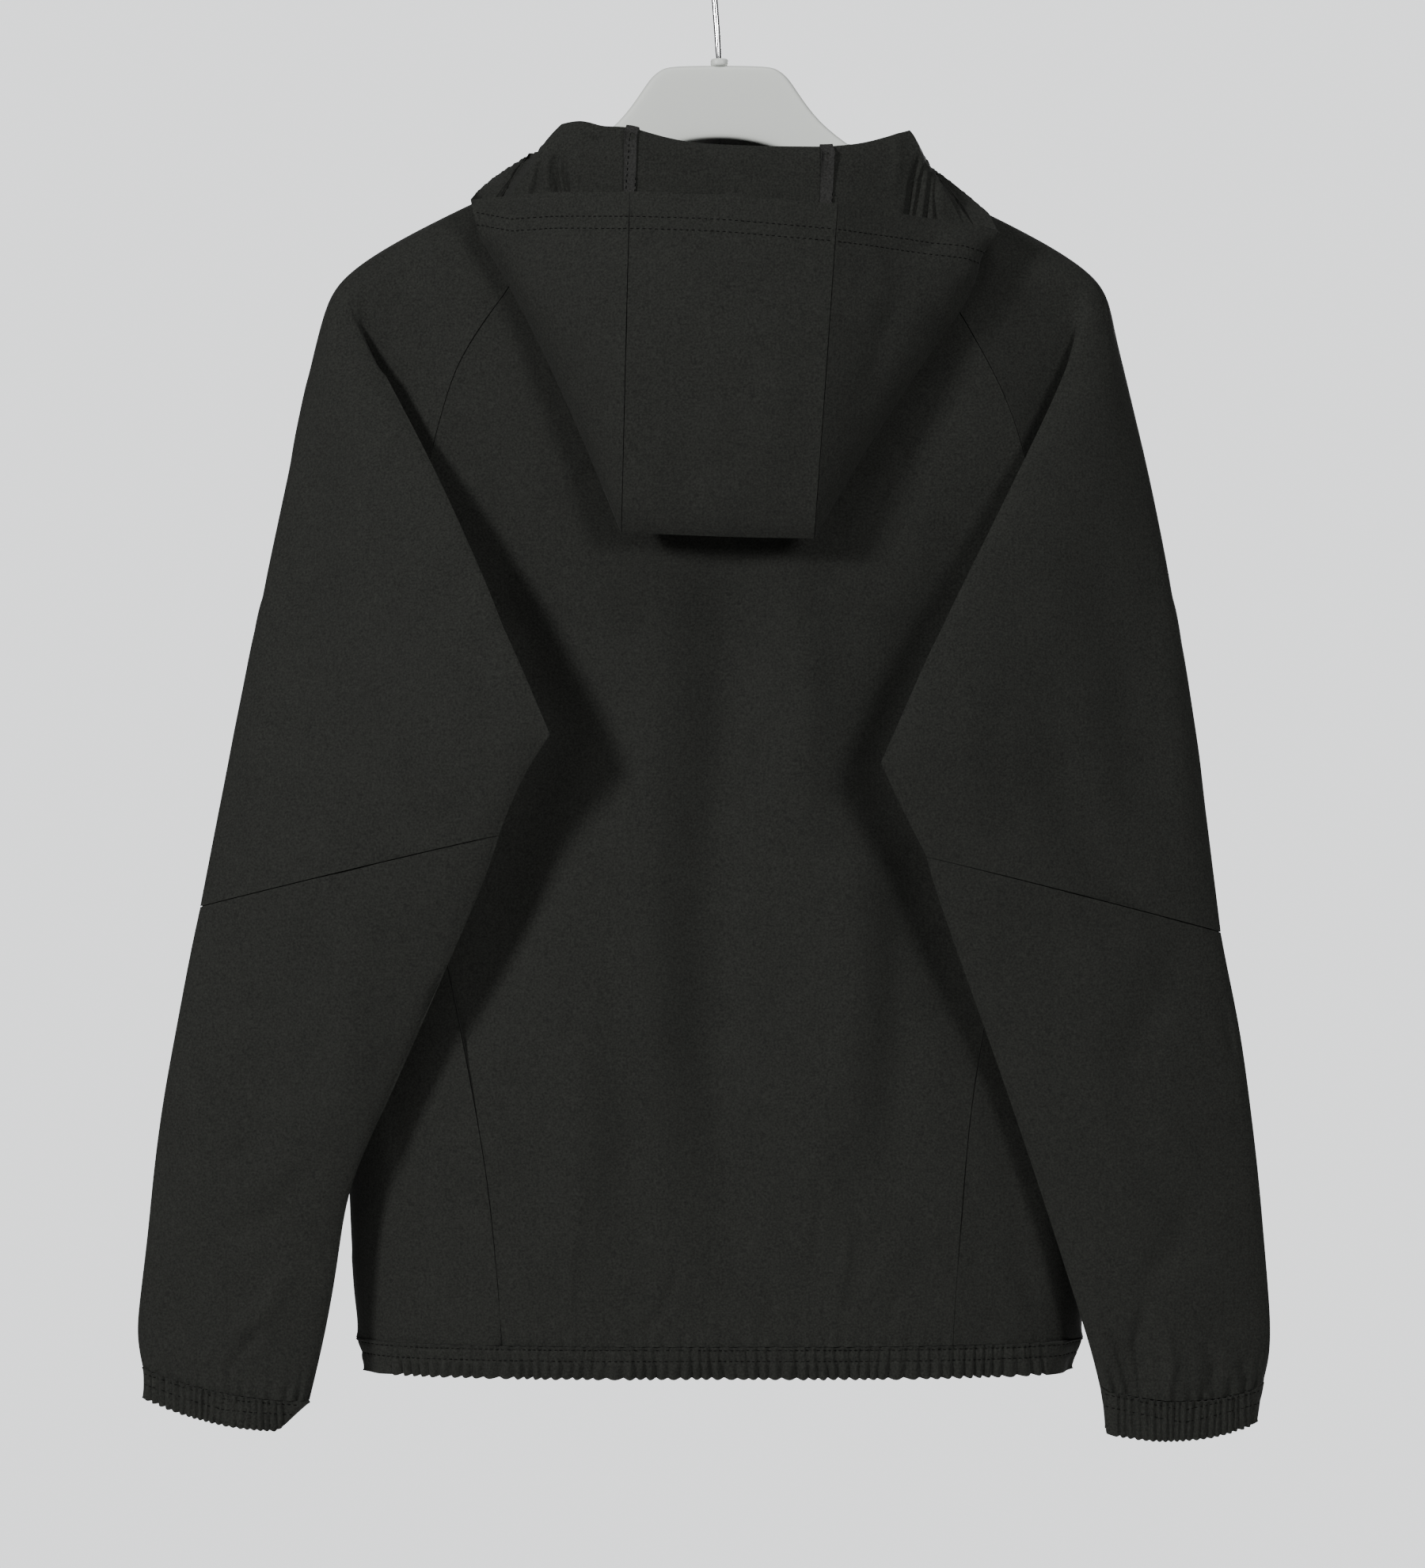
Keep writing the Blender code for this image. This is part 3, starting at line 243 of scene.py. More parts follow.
def open_towards(piece, way):
    """For each point, 1 where no other layer of its piece lies on the side of way, else 0."""
    tree = tree_of(piece)
    ray = Vector(way)
    found = np.ones(len(piece.data.vertices))
    for k, vertex in enumerate(piece.data.vertices):
        if tree.ray_cast(vertex.co + ray * WALL_STEP, ray, 0.4)[0] is not None:
            found[k] = 0.0
    return found


def smooth_step(value, low, high):
    share = np.clip((value - low) / (high - low), 0.0, 1.0)
    return share * share * (3 - 2 * share)


# %% [markdown]
# A crease is a line of points across the cloth. Beside the line the cloth sinks in or stands
# out, most in the middle of the line and not at all at its ends.


# %% Creases
def crease_depth(x, z, rows):
    """How far the creases in rows lift the cloth at x, z."""
    total = np.zeros(len(x))
    for points, width, lift, crisp in rows:
        lengths = [math.dist(a, b) for a, b in zip(points, points[1:])]
        whole = sum(lengths)
        best = np.full(len(x), 1e9)
        along = np.zeros(len(x))
        so_far = 0.0
        for (ax, az), (bx, bz), length in zip(points, points[1:], lengths):
            t = ((x - ax) * (bx - ax) + (z - az) * (bz - az)) / length ** 2
            t = np.clip(t, 0.0, 1.0)
            away = np.hypot(x - ax - t * (bx - ax), z - az - t * (bz - az))
            nearer = away < best
            best = np.where(nearer, away, best)
            along = np.where(nearer, (so_far + t * length) / whole, along)
            so_far += length
        taper = np.sin(np.pi * np.clip(along, 0.02, 0.98)) ** 0.6
        total += lift * taper * np.exp(-(best / width) ** crisp)
    return total


def unevenness(places, size, seed):
    """Slow wandering of the cloth, between -1 and 1."""
    out = np.empty(len(places))
    shift = Vector((seed * 17.3, seed * 5.1, seed * 9.7))
    for k, place in enumerate(places):
        out[k] = noise.noise(Vector(place) / size + shift)
    return out


def press(piece, way, rows, strength=1.0, wander=0.5, wander_size=34.0, seed=1):
    """Presses creases into the layer of a piece that faces way, along Y."""
    places, normals = read_points(piece)
    facing = smooth_step(np.abs(normals[:, 1]), 0.12, 0.6)
    weight = open_towards(piece, (0, way, 0)) * facing
    lift = strength * crease_depth(places[:, 0], places[:, 2], rows)
    flat = places * np.array([1.0, 0.0, 1.0])
    lift += wander * unevenness(flat, wander_size, seed)
    places[:, 1] += way * lift * weight
    write_points(piece, places)
    print(piece.name, len(piece.data.polygons), "faces, lift",
          round(float(lift.min()), 2), round(float(lift.max()), 2))


# %% [markdown]
# Where cloth is sewn on to elastic it stands in upright gathers: rounded ridges with narrow
# valleys between, uneven in size, leaning a little this way and that.


# %% Gathers
def along_edge(places, half, bend):
    """Distance round a flat tube: straight across its faces, then on round its sides."""
    middle = places.mean(axis=0)
    x = places[:, 0] - middle[0]
    turn = np.arctan2(places[:, 1] - middle[1], np.abs(x)) * np.sign(x)
    return np.where(np.abs(x) < half, x, half * np.sign(x) + bend * turn)


def gathers(u, z, pitch, seed):
    """Rounded ridges at 1 and narrow valleys at 0, where z is 0 at the sewn edge."""
    wander = 1.5 * np.sin(u / 13.0 + seed) + 0.9 * np.sin(u / 5.3 + 2 * seed)
    lean = 0.05 * np.sin(u / 31.0 + seed) + 0.05 * np.sin(u / 9.7 + seed)
    phase = 2 * np.pi * u / pitch + wander + lean * z
    size = 0.84 + 0.16 * np.sin(u / 8.3 + 3 * seed) * np.sin(u / 21.0 + seed)
    return 1.0 - size * (1.0 - np.abs(np.cos(phase / 2)) ** 1.1)


GATHER_MIDDLE = 0.7   # near the mean of gathers(), so that gathered cloth keeps its size
SOFT_PITCH = 9.5      # the gathers above the hem, their height, and how soon they fade
SOFT_HEIGHT = 2.8
SOFT_FADE = 7.0


def gather_above_hem(piece, seed):
    """Soft gathers in the last few millimetres of a panel above the elastic band."""
    places, normals = read_points(piece)
    above = places[:, 2] - HEM_TOP_Z
    fade = np.exp(-np.maximum(above, 0.0) / SOFT_FADE) * (above < 40)
    level = normals * np.array([0.0, 1.0, 0.0])
    outside = np.sign((normals * places * np.array([0.1, 1.0, 0.0])).sum(axis=1))
    ridges = gathers(places[:, 0], above, SOFT_PITCH, seed)
    lift = (ridges - GATHER_MIDDLE) * SOFT_HEIGHT * fade
    places += level * (lift * outside)[:, None]
    write_points(piece, places)


# %% [markdown]
# The back panel hangs from the shoulders in long soft folds. Each row: the line it follows,
# its width, how far it stands out (or in), and how crisp it is.

# %% Back panel
BACK_CREASES = (
    (((-150.0, -360), (-120.0, -430), (-95.0, -494), (-114.0, -545), (-128.0, -610),
      (-156.0, -690)), 21.0, -6.5, 2.2),
    (((152.0, -370), (122.0, -440), (95.0, -512), (106.0, -550), (122.0, -600),
      (150.0, -680)), 21.0, -6.5, 2.2),
    (((9.0, -400), (4.0, -500), (-6.0, -590)), 17.0, -3.2, 2.0),
    (((-36.0, -430), (-38.0, -560), (-40.0, -690)), 20.0, 2.6, 2.0),
    (((46.0, -400), (50.0, -470), (46.0, -560)), 14.0, 2.4, 2.0),
    (((76.0, -560), (80.0, -650), (70.0, -740)), 17.0, 2.6, 2.0),
    (((-12.0, -600), (-2.0, -700), (12.0, -800)), 15.0, -2.6, 2.0),
    (((-84.0, -640), (-80.0, -740), (-92.0, -820)), 16.0, 2.0, 2.0),
    (((-60.0, -620), (-52.0, -720), (-56.0, -800)), 13.0, -1.8, 2.0),
    (((30.0, -640), (34.0, -730), (42.0, -800)), 14.0, -1.6, 2.0),
    (((100.0, -580), (104.0, -680), (98.0, -760)), 12.0, -2.0, 2.0),
    (((-22.0, -796), (-27.0, -815), (-34.0, -830), (-46.0, -842)), 2.6, -1.5, 1.5),
    (((-84.0, -770), (-85.0, -800), (-88.0, -838)), 2.4, 1.2, 1.5),
    (((76.0, -770), (72.0, -800), (66.0, -838)), 2.6, 1.3, 1.5),
    (((60.0, -752), (56.0, -785), (54.0, -812)), 3.2, -0.9, 1.6),
    (((112.0, -782), (92.0, -806), (76.0, -836)), 3.4, 1.0, 1.6),
    (((120.0, -800), (104.0, -818), (92.0, -842)), 3.0, -1.0, 1.6),
    (((26.0, -806), (30.0, -826), (24.0, -844)), 3.0, -1.1, 1.6),
    (((14.0, -690), (2.0, -650), (-2.0, -610)), 5.0, -0.9, 1.7),
    (((-70.0, -330), (-92.0, -350), (-110.0, -352)), 4.0, 0.8, 1.7),
    (((86.0, -300), (104.0, -330), (118.0, -352)), 4.0, -0.8, 1.7),
)
cloth = {}
cloth["back_panel"] = fine_copy("back_panel", "back_panel_cloth", 3, shell_cloth)
press(cloth["back_panel"], -1, BACK_CREASES, 1.35, wander=0.8, seed=2)
gather_above_hem(cloth["back_panel"], 1.0)

# %% [markdown]
# The side panels and the two fronts hang below the sleeves. The fronts get folds like those of
# the back, uneven in the same way. Their edges move out a little, so that no seam stands open.

# %% Side panels and fronts
SIDE_CREASES = {
    "left": ((((-196.0, -700), (-178.0, -760), (-160.0, -838)), 5.0, -1.6, 1.7),
             (((-206.0, -660), (-196.0, -740), (-186.0, -830)), 9.0, 1.8, 2.0),
             (((-186.0, -810), (-172.0, -824), (-158.0, -842)), 3.0, 1.0, 1.6),
             (((-150.0, -700), (-152.0, -770), (-146.0, -830)), 6.0, -1.2, 2.0)),
    "right": ((((160.0, -720), (172.0, -780), (182.0, -838)), 6.0, -1.5, 1.8),
              (((186.0, -690), (192.0, -760), (196.0, -830)), 9.0, 1.7, 2.0),
              (((150.0, -790), (164.0, -810), (176.0, -838)), 3.0, 1.0, 1.6),
              (((172.0, -800), (184.0, -822), (200.0, -838)), 3.0, -0.9, 1.6)),
}
FRONT_CREASES = {
    "left": ((((-60.0, -330), (-58.0, -520), (-66.0, -700)), 18.0, 2.6, 2.0),
             (((-98.0, -420), (-94.0, -600), (-100.0, -790)), 16.0, -2.4, 2.0),
             (((-140.0, -480), (-132.0, -640), (-138.0, -800)), 15.0, 2.4, 2.0),
             (((-176.0, -440), (-140.0, -480), (-112.0, -500)), 6.0, -1.3, 1.7),
             (((-30.0, -640), (-34.0, -740), (-28.0, -830)), 9.0, -1.6, 2.0),
             (((-88.0, -780), (-92.0, -810), (-84.0, -842)), 3.0, 1.2, 1.6),
             (((-48.0, -796), (-54.0, -818), (-50.0, -842)), 2.8, -1.1, 1.6),
             (((-122.0, -790), (-130.0, -815), (-126.0, -842)), 3.0, -1.1, 1.6)),
    "right": ((((54.0, -340), (60.0, -500), (52.0, -690)), 18.0, 2.6, 2.0),
              (((92.0, -400), (100.0, -590), (94.0, -780)), 16.0, -2.4, 2.0),
              (((136.0, -470), (142.0, -650), (132.0, -800)), 15.0, 2.4, 2.0),
              (((178.0, -446), (146.0, -476), (108.0, -496)), 6.0, -1.3, 1.7),
              (((28.0, -600), (34.0, -720), (30.0, -820)), 9.0, -1.6, 2.0),
              (((80.0, -786), (84.0, -812), (92.0, -842)), 3.0, 1.2, 1.6),
              (((44.0, -800), (40.0, -820), (46.0, -842)), 2.8, -1.1, 1.6),
              (((118.0, -786), (124.0, -812), (118.0, -842)), 3.0, -1.1, 1.6)),
}
for side in ("left", "right"):
    name = "side_panel_" + side
    cloth[name] = fine_copy(name, name + "_cloth", 3, shell_cloth)
    press(cloth[name], -1, SIDE_CREASES[side], wander=0.5, seed=3)
    gather_above_hem(cloth[name], 1.0)
    places, normals = read_points(cloth[name])
    towards_seam = smooth_step(np.abs(normals[:, 0]), 0.6, 0.9) * (places[:, 2] < -800.0)
    write_points(cloth[name], places + normals * (SIDE_RIM * towards_seam)[:, None])
    name = "front_" + side
    cloth[name] = fine_copy(name, name + "_cloth", 2, shell_cloth)
    press(cloth[name], 1, FRONT_CREASES[side], wander=0.6, seed=5)
    gather_above_hem(cloth[name], 2.0)
    places, normals = read_points(cloth[name])
    towards_neck = smooth_step(normals[:, 2], 0.3, 0.7) * (places[:, 2] > -260.0)
    towards_hem = smooth_step(-normals[:, 2], 0.4, 0.8) * (places[:, 2] < -840.0)
    places += normals * (FRONT_RIM * (towards_neck + towards_hem))[:, None]
    write_points(cloth[name], places)

# %% [markdown]
# The sleeves are folded over the back and hang flat. Long shallow valleys run down them, and
# short crisp ones gather above the cuffs and beside the elbow seams.

# %% Sleeves
UPPER_CREASES = {
    "left": ((((-200.0, -212), (-188.0, -226), (-172.0, -238)), 5.0, -0.9, 1.8),
             (((-176.0, -206), (-160.0, -222), (-146.0, -250)), 5.0, 0.9, 1.8),
             (((-164.0, -252), (-150.0, -264), (-146.0, -276)), 4.0, -0.8, 1.8),
             (((-214.0, -450), (-198.0, -520), (-186.0, -600)), 16.0, -2.6, 2.0),
             (((-262.0, -420), (-270.0, -500), (-268.0, -590)), 12.0, 2.0, 2.0),
             (((-236.0, -330), (-240.0, -430), (-246.0, -520)), 12.0, -1.8, 2.0),
             (((-180.0, -400), (-160.0, -460), (-140.0, -500)), 12.0, 1.8, 2.0),
             (((-136.0, -520), (-150.0, -540), (-172.0, -548)), 5.0, -1.0, 1.7),
             (((-210.0, -568), (-206.0, -585), (-204.0, -600)), 3.0, 0.8, 1.6)),
    "right": ((((190.0, -210), (176.0, -224), (164.0, -240)), 5.0, -0.9, 1.8),
              (((158.0, -206), (166.0, -226), (176.0, -252)), 5.0, 0.9, 1.8),
              (((186.0, -460), (198.0, -528), (250.0, -636)), 15.0, -2.6, 2.0),
              (((262.0, -400), (268.0, -500), (274.0, -600)), 12.0, 2.0, 2.0),
              (((214.0, -400), (236.0, -470), (240.0, -560)), 14.0, -2.0, 2.0),
              (((150.0, -440), (142.0, -500), (150.0, -560)), 12.0, 1.6, 2.0),
              (((126.0, -545), (146.0, -548), (170.0, -560)), 5.0, -1.0, 1.7)),
}
LOWER_CREASES = {
    "left": ((((-140.0, -622), (-160.0, -640), (-170.0, -664)), 3.6, -2.6, 1.5),
             (((-134.0, -626), (-152.0, -634), (-166.0, -634)), 4.0, 2.0, 1.6),
             (((-262.0, -620), (-262.0, -690), (-276.0, -760)), 14.0, -2.2, 2.0),
             (((-206.0, -600), (-214.0, -680), (-226.0, -740)), 14.0, 2.2, 2.0),
             (((-300.0, -650), (-306.0, -740), (-316.0, -820)), 12.0, 1.8, 2.0),
             (((-232.0, -740), (-262.0, -776), (-296.0, -790)), 9.0, -2.0, 1.8),
             (((-244.0, -800), (-264.0, -830), (-290.0, -846)), 7.0, 2.0, 1.8),
             (((-326.0, -800), (-314.0, -836), (-296.0, -856)), 6.0, -1.8, 1.7),
             (((-264.0, -838), (-276.0, -852), (-286.0, -866)), 3.0, -1.4, 1.5),
             (((-310.0, -846), (-306.0, -856), (-300.0, -864)), 3.0, 1.4, 1.5)),
    "right": ((((186.0, -600), (196.0, -612), (200.0, -640)), 4.0, -1.3, 1.6),
              (((264.0, -610), (258.0, -640), (230.0, -690)), 12.0, -2.6, 1.9),
              (((238.0, -700), (262.0, -730), (282.0, -750)), 10.0, 2.2, 1.9),
              (((292.0, -650), (298.0, -680), (306.0, -684)), 3.0, -1.5, 1.5),
              (((206.0, -660), (222.0, -720), (240.0, -780)), 12.0, 2.0, 2.0),
              (((276.0, -760), (262.0, -790), (242.0, -820)), 10.0, -2.8, 1.8),
              (((224.0, -838), (230.0, -850), (238.0, -880)), 3.0, -3.0, 1.4),
              (((218.0, -850), (222.0, -866), (228.0, -882)), 2.8, 2.0, 1.5),
              (((246.0, -820), (240.0, -850), (246.0, -880)), 4.0, -3.0, 1.5),
              (((256.0, -836), (262.0, -858), (258.0, -884)), 3.4, 2.2, 1.5),
              (((304.0, -856), (303.0, -864), (306.0, -874)), 2.8, -1.6, 1.4),
              (((280.0, -846), (286.0, -862), (282.0, -880)), 3.8, -2.2, 1.5)),
}
CUFF_SEAMS = {
    # the two ends of a cuff's seam as x, y, z, and how far it sags between them
    "left": ((-335.6, -33.0, -863.0), (-238.0, -47.0, -880.5), 4.0),
    "right": ((316.2, -33.0, -872.0), (220.6, -47.0, -872.0), 9.0),
}


def add_detail(piece, low, high, cuts):
    """Divides the faces inside a box, in millimetres, that look out backwards."""
    choose(piece)
    low, high = Vector(low) * MM, Vector(high) * MM
    for part in (piece.data.vertices, piece.data.edges):
        part.foreach_set("select", [False] * len(part))
    for face in piece.data.polygons:
        inside = all(low[i] < face.center[i] < high[i] for i in range(3))
        face.select = inside and face.normal.y < -0.3
    bpy.ops.object.mode_set(mode="EDIT")
    bpy.ops.mesh.select_mode(type="FACE")
    bpy.ops.mesh.subdivide(number_cuts=cuts)
    bpy.ops.object.mode_set(mode="OBJECT")


CUFF_PITCH = 7.4      # the gathers above the cuffs, their height, and how soon they fade
CUFF_HEIGHT = 2.8
CUFF_FADE = 9.0


def gather_above_cuff(piece, seam, seed):
    """Gathers that fan up into the sleeve from the elastic cuff."""
    (ax, ay, az), (bx, by, bz), sag = seam
    places, normals = read_points(piece)
    share = np.clip((places[:, 0] - ax) / (bx - ax), 0.0, 1.0)
    above = places[:, 2] - (az + (bz - az) * share - 4 * sag * share * (1 - share))
    middle_y = ay + (by - ay) * share
    outside = np.sign(normals[:, 1] * (places[:, 1] - middle_y))
    fade = np.exp(-np.maximum(above, 0.0) / CUFF_FADE) * (above < 50)
    spread = (places[:, 0] - (ax + bx) / 2) * (1.0 - 0.004 * np.maximum(above, 0.0))
    lift = (gathers(spread, 0.0, CUFF_PITCH, seed) - GATHER_MIDDLE) * CUFF_HEIGHT * fade
    places[:, 1] += normals[:, 1] * outside * lift
    write_points(piece, places)


FAR_CREASES = {
    # the sleeves' sides towards the wearer's front, where z is above or below the elbow seam
    "left": ((((-250.0, -330), (-240.0, -420), (-248.0, -540)), 14.0, -2.4, 2.0),
             (((-212.0, -440), (-222.0, -500), (-214.0, -580)), 12.0, 2.2, 2.0),
             (((-282.0, -520), (-270.0, -560), (-236.0, -590)), 6.0, -1.4, 1.8),
             (((-290.0, -640), (-280.0, -720), (-292.0, -810)), 13.0, 2.2, 2.0),
             (((-246.0, -640), (-256.0, -730), (-262.0, -800)), 13.0, -2.4, 2.0),
             (((-300.0, -800), (-290.0, -830), (-294.0, -862)), 5.0, -1.8, 1.7),
             (((-268.0, -810), (-262.0, -840), (-270.0, -868)), 5.0, 1.8, 1.7)),
    "right": ((((244.0, -340), (238.0, -430), (246.0, -550)), 14.0, -2.4, 2.0),
              (((208.0, -450), (216.0, -520), (206.0, -590)), 12.0, 2.2, 2.0),
              (((276.0, -530), (262.0, -566), (230.0, -600)), 6.0, -1.4, 1.8),
              (((270.0, -650), (262.0, -730), (278.0, -820)), 13.0, 2.2, 2.0),
              (((230.0, -650), (236.0, -740), (246.0, -810)), 13.0, -2.4, 2.0),
              (((288.0, -806), (276.0, -836), (282.0, -868)), 5.0, -1.8, 1.7),
              (((246.0, -816), (252.0, -846), (244.0, -872)), 5.0, 1.8, 1.7)),
}
for side in ("left", "right"):
    for part, rows in (("upper", UPPER_CREASES[side]), ("lower", LOWER_CREASES[side])):
        name = "sleeve_%s_%s" % (part, side)
        cloth[name] = fine_copy(name, name + "_cloth", 3, shell_cloth, rim_degrees=44)
        if part == "lower":
            add_detail(cloth[name], (-400, -100, -1000), (400, 100, -800), 2)
        press(cloth[name], -1, rows, 1.35, wander=0.8, seed=7)
        press(cloth[name], 1, FAR_CREASES[side], 1.2, wander=0.8, seed=9)
        if part == "lower":
            gather_above_cuff(cloth[name], CUFF_SEAMS[side], 2.0)

# %% [markdown]
# The fold over the back starts softly at the shoulder tips, where the folded edge is evened out.


# %% Softer shoulders
def soften(piece, low, high, repeat):
    """Evens out the part of a piece inside a box, in millimetres."""
    choose(piece)
    low, high = Vector(low) * MM, Vector(high) * MM
    for vertex in piece.data.vertices:
        vertex.select = all(low[i] < vertex.co[i] < high[i] for i in range(3))
    for edge in piece.data.edges:
        edge.select = False
    for face in piece.data.polygons:
        face.select = False
    bpy.ops.object.mode_set(mode="EDIT")
    bpy.ops.mesh.select_mode(type="VERT")
    bpy.ops.mesh.vertices_smooth(factor=0.5, repeat=repeat)
    bpy.ops.object.mode_set(mode="OBJECT")


SHOULDER_TIP_X = 228
SHOULDER_BOXES = (
    # top z, foot z, and the x of the end that is nearer to the neck
    (-232, -262, 158),
    (-250, -285, 180),
)
for side, way in (("left", -1), ("right", 1)):
    for top, foot, near in SHOULDER_BOXES:
        first, last = sorted((way * near, way * SHOULDER_TIP_X))
        soften(cloth["sleeve_upper_" + side], (first, -60, foot), (last, -9, top), 60)

# %% [markdown]
# The hood lies fallen down the back as a flat pocket of three panels, its face edge across
# the top, with bound seams inside.

# %% Hood
HOOD_CREASES = {
    "hood_centre": ((((-20.0, -232), (-30.0, -238), (-44.0, -236)), 4.0, 0.8, 1.6),
                    (((52.0, -226), (36.0, -236), (18.0, -240)), 4.0, -0.8, 1.6),
                    (((-30.0, -330), (-10.0, -345), (14.0, -342)), 9.0, -1.0, 1.9),
                    (((20.0, -250), (34.0, -300), (30.0, -350)), 12.0, 1.2, 2.0)),
    "hood_side_left": ((((-52.0, -206), (-62.0, -210), (-74.0, -204)), 3.4, -1.2, 1.5),
                       (((-96.0, -196), (-110.0, -214), (-112.0, -236)), 5.0, -1.2, 1.7),
                       (((-70.0, -230), (-76.0, -262), (-70.0, -300)), 8.0, 1.3, 1.9)),
    "hood_side_right": ((((132.0, -206), (120.0, -216), (100.0, -218)), 4.0, -1.2, 1.6),
                        (((108.0, -230), (96.0, -262), (84.0, -300)), 8.0, -1.4, 1.9),
                        (((80.0, -214), (90.0, -222), (96.0, -236)), 4.0, 1.0, 1.6)),
}
FACE_EDGE = (
    # the hood's edge round the face, as x and z
    (-141.0, -178.5), (-120.0, -184.0), (-98.5, -183.4), (-75.0, -184.5), (-51.2, -185.7),
    (-20.0, -187.0), (6.0, -188.5), (35.0, -190.8), (67.4, -193.0), (86.0, -194.5),
    (104.0, -196.0), (122.0, -198.0), (141.2, -199.4), (158.0, -203.0),
)
EAR_FOLDS = {
    # bunched folds where the neck's elastic pulls the hood's corners together
    "hood_side_left": ((((-93.5, -154), (-97.0, -165), (-90.5, -196)), 2.0, -4.5, 1.5),
                       (((-90.0, -158), (-91.0, -170), (-85.0, -196)), 1.8, -3.6, 1.5),
                       (((-104.0, -160), (-105.5, -168), (-112.0, -196)), 1.6, -3.0, 1.5),
                       (((-99.5, -160), (-101.0, -170), (-98.0, -196)), 2.2, 2.0, 1.6),
                       (((-84.0, -145), (-76.0, -152), (-66.0, -150)), 2.4, -2.4, 1.6)),
    "hood_side_right": ((((117.0, -158), (113.0, -172), (107.0, -212)), 1.8, -4.5, 1.5),
                        (((121.5, -160), (118.0, -172), (111.0, -213)), 1.8, -4.0, 1.5),
                        (((124.5, -166), (122.5, -180), (118.5, -213)), 1.8, -4.0, 1.5),
                        (((127.0, -170), (126.0, -182), (127.0, -213)), 1.5, -3.0, 1.5),
                        (((104.0, -146), (104.0, -160), (100.0, -180)), 3.0, 1.4, 1.6)),
}
EAR_BOXES = {
    # the two corners of the box whose faces are divided for those folds
    "hood_side_left": ((-113, -60, -190), (-84, 10, -150)),
    "hood_side_right": ((107, -60, -204), (130, 10, -154)),
}


def collar_lift(places):
    """How far the collar rises, from nothing 20 mm below its top."""
    return COLLAR_LIFT * smooth_step(places[:, 2], -160.0, -140.0)


def elastic_gathers(places):
    """Small gathers along the neck's elastic, beside the hood's corners."""
    outer = np.abs(places[:, 0] - NECK_MIDDLE_X)
    share = smooth_step(outer, 110.0, 120.0) * smooth_step(places[:, 1], -32.0, -14.0)
    share *= smooth_step(20.0 - places[:, 1], 0.0, 12.0)
    down = np.hypot(places[:, 0], places[:, 2])
    return (gathers(down, places[:, 1], 5.2, 3.0) - 0.65) * 1.6 * share


for name, rows in HOOD_CREASES.items():
    piece = fine_copy(name, name + "_cloth", 3, shell_cloth, rim_degrees=40)
    if name in EAR_BOXES:
        add_detail(piece, *EAR_BOXES[name], 2)
    press(piece, -1, rows, 1.35, wander=0.9, wander_size=26.0, seed=11)
    places, normals = read_points(piece)
    backwards = normals * np.sign(-normals[:, 1])[:, None]
    bunched = crease_depth(places[:, 0], places[:, 2], EAR_FOLDS.get(name, ()))
    bunched *= open_towards(piece, (0, -1, 0)) * (places[:, 1] < 10.0)
    bunched *= places[:, 2] > np.interp(places[:, 0], *zip(*FACE_EDGE)) + 0.6
    places += backwards * bunched[:, None]
    collar = smooth_step(places[:, 1], 10.0, 40.0)
    collar *= 1.0 - smooth_step(np.abs(places[:, 0] - NECK_MIDDLE_X), 40.0, 60.0)
    places[:, 2] += collar_lift(places) * collar
    places += backwards * elastic_gathers(places)[:, None]
    write_points(piece, places)
    cloth[name] = piece
for side in ("left", "right"):
    name = "hood_tape_" + side
    cloth[name] = fine_copy(name, name + "_binding", 2, seam_binding)

# %% [markdown]
# The hem and the cuffs are doubled bands with elastic inside, sewn on stretched. When the
# elastic shrinks back, the cloth stands in short upright gathers.


# %% Gathered bands
def outward_of(places, flatness):
    """The level direction away from the middle of a flat tube."""
    outward = places - places.mean(axis=0)
    outward[:, 2] = 0.0
    outward[:, 0] *= flatness
    return outward / np.linalg.norm(outward, axis=1)[:, None]


def add_columns(piece, cuts, shortest):
    """Divides the edges that run round a band and are longer than shortest, in millimetres."""
    choose(piece)
    points = piece.data.vertices
    for part in (points, piece.data.edges, piece.data.polygons):
        part.foreach_set("select", [False] * len(part))
    for edge in piece.data.edges:
        a, b = (points[k].co for k in edge.vertices)
        edge.select = (a - b).length > shortest * MM and abs(a.z - b.z) < 0.5 * (a - b).length
    bpy.ops.object.mode_set(mode="EDIT")
    bpy.ops.mesh.subdivide(number_cuts=cuts)
    bpy.ops.object.mode_set(mode="OBJECT")


def with_raised_rim(piece):
    """A band's points, with its top rim moved out to meet the cloth above it."""
    places, normals = read_points(piece)
    return places + normals * (BAND_RIM * smooth_step(normals[:, 2], 0.4, 0.8))[:, None]


HEM_PITCHES = (6.6, 3.0)     # the hem's big and small gathers
CUFF_PITCHES = (3.9, 9.0)    # the cuffs' ridges, and the ruffle that they lie on
hem = fine_copy("hem_band", "hem_band_cloth", 3, band_cloth)
add_columns(hem, 2, 1.2)
places = with_raised_rim(hem)
u = along_edge(places, 190.0, 30.0)
front_or_back = np.where(places[:, 1] > 0, 2.0, 1.0)
below = places[:, 2] - HEM_TOP_Z
big = gathers(u, below, HEM_PITCHES[0], front_or_back) - GATHER_MIDDLE
small = gathers(u, below, HEM_PITCHES[1], front_or_back) - GATHER_MIDDLE
free = smooth_step(HEM_ROWS_Z[1] - places[:, 2], 0.0, 4.0)
sewn = 1.0 - free
near_zip = np.where((places[:, 1] > 0) & (np.abs(places[:, 0]) < 18.0), 0.15, 1.0)
lift = free * big * 3.0 + sewn * (small * 0.7 + big * 1.3)
for z in HEM_ROWS_Z:
    lift -= 0.45 * np.exp(-((places[:, 2] - z) / 0.9) ** 2)
places += outward_of(places, 0.12) * (lift * near_zip)[:, None]
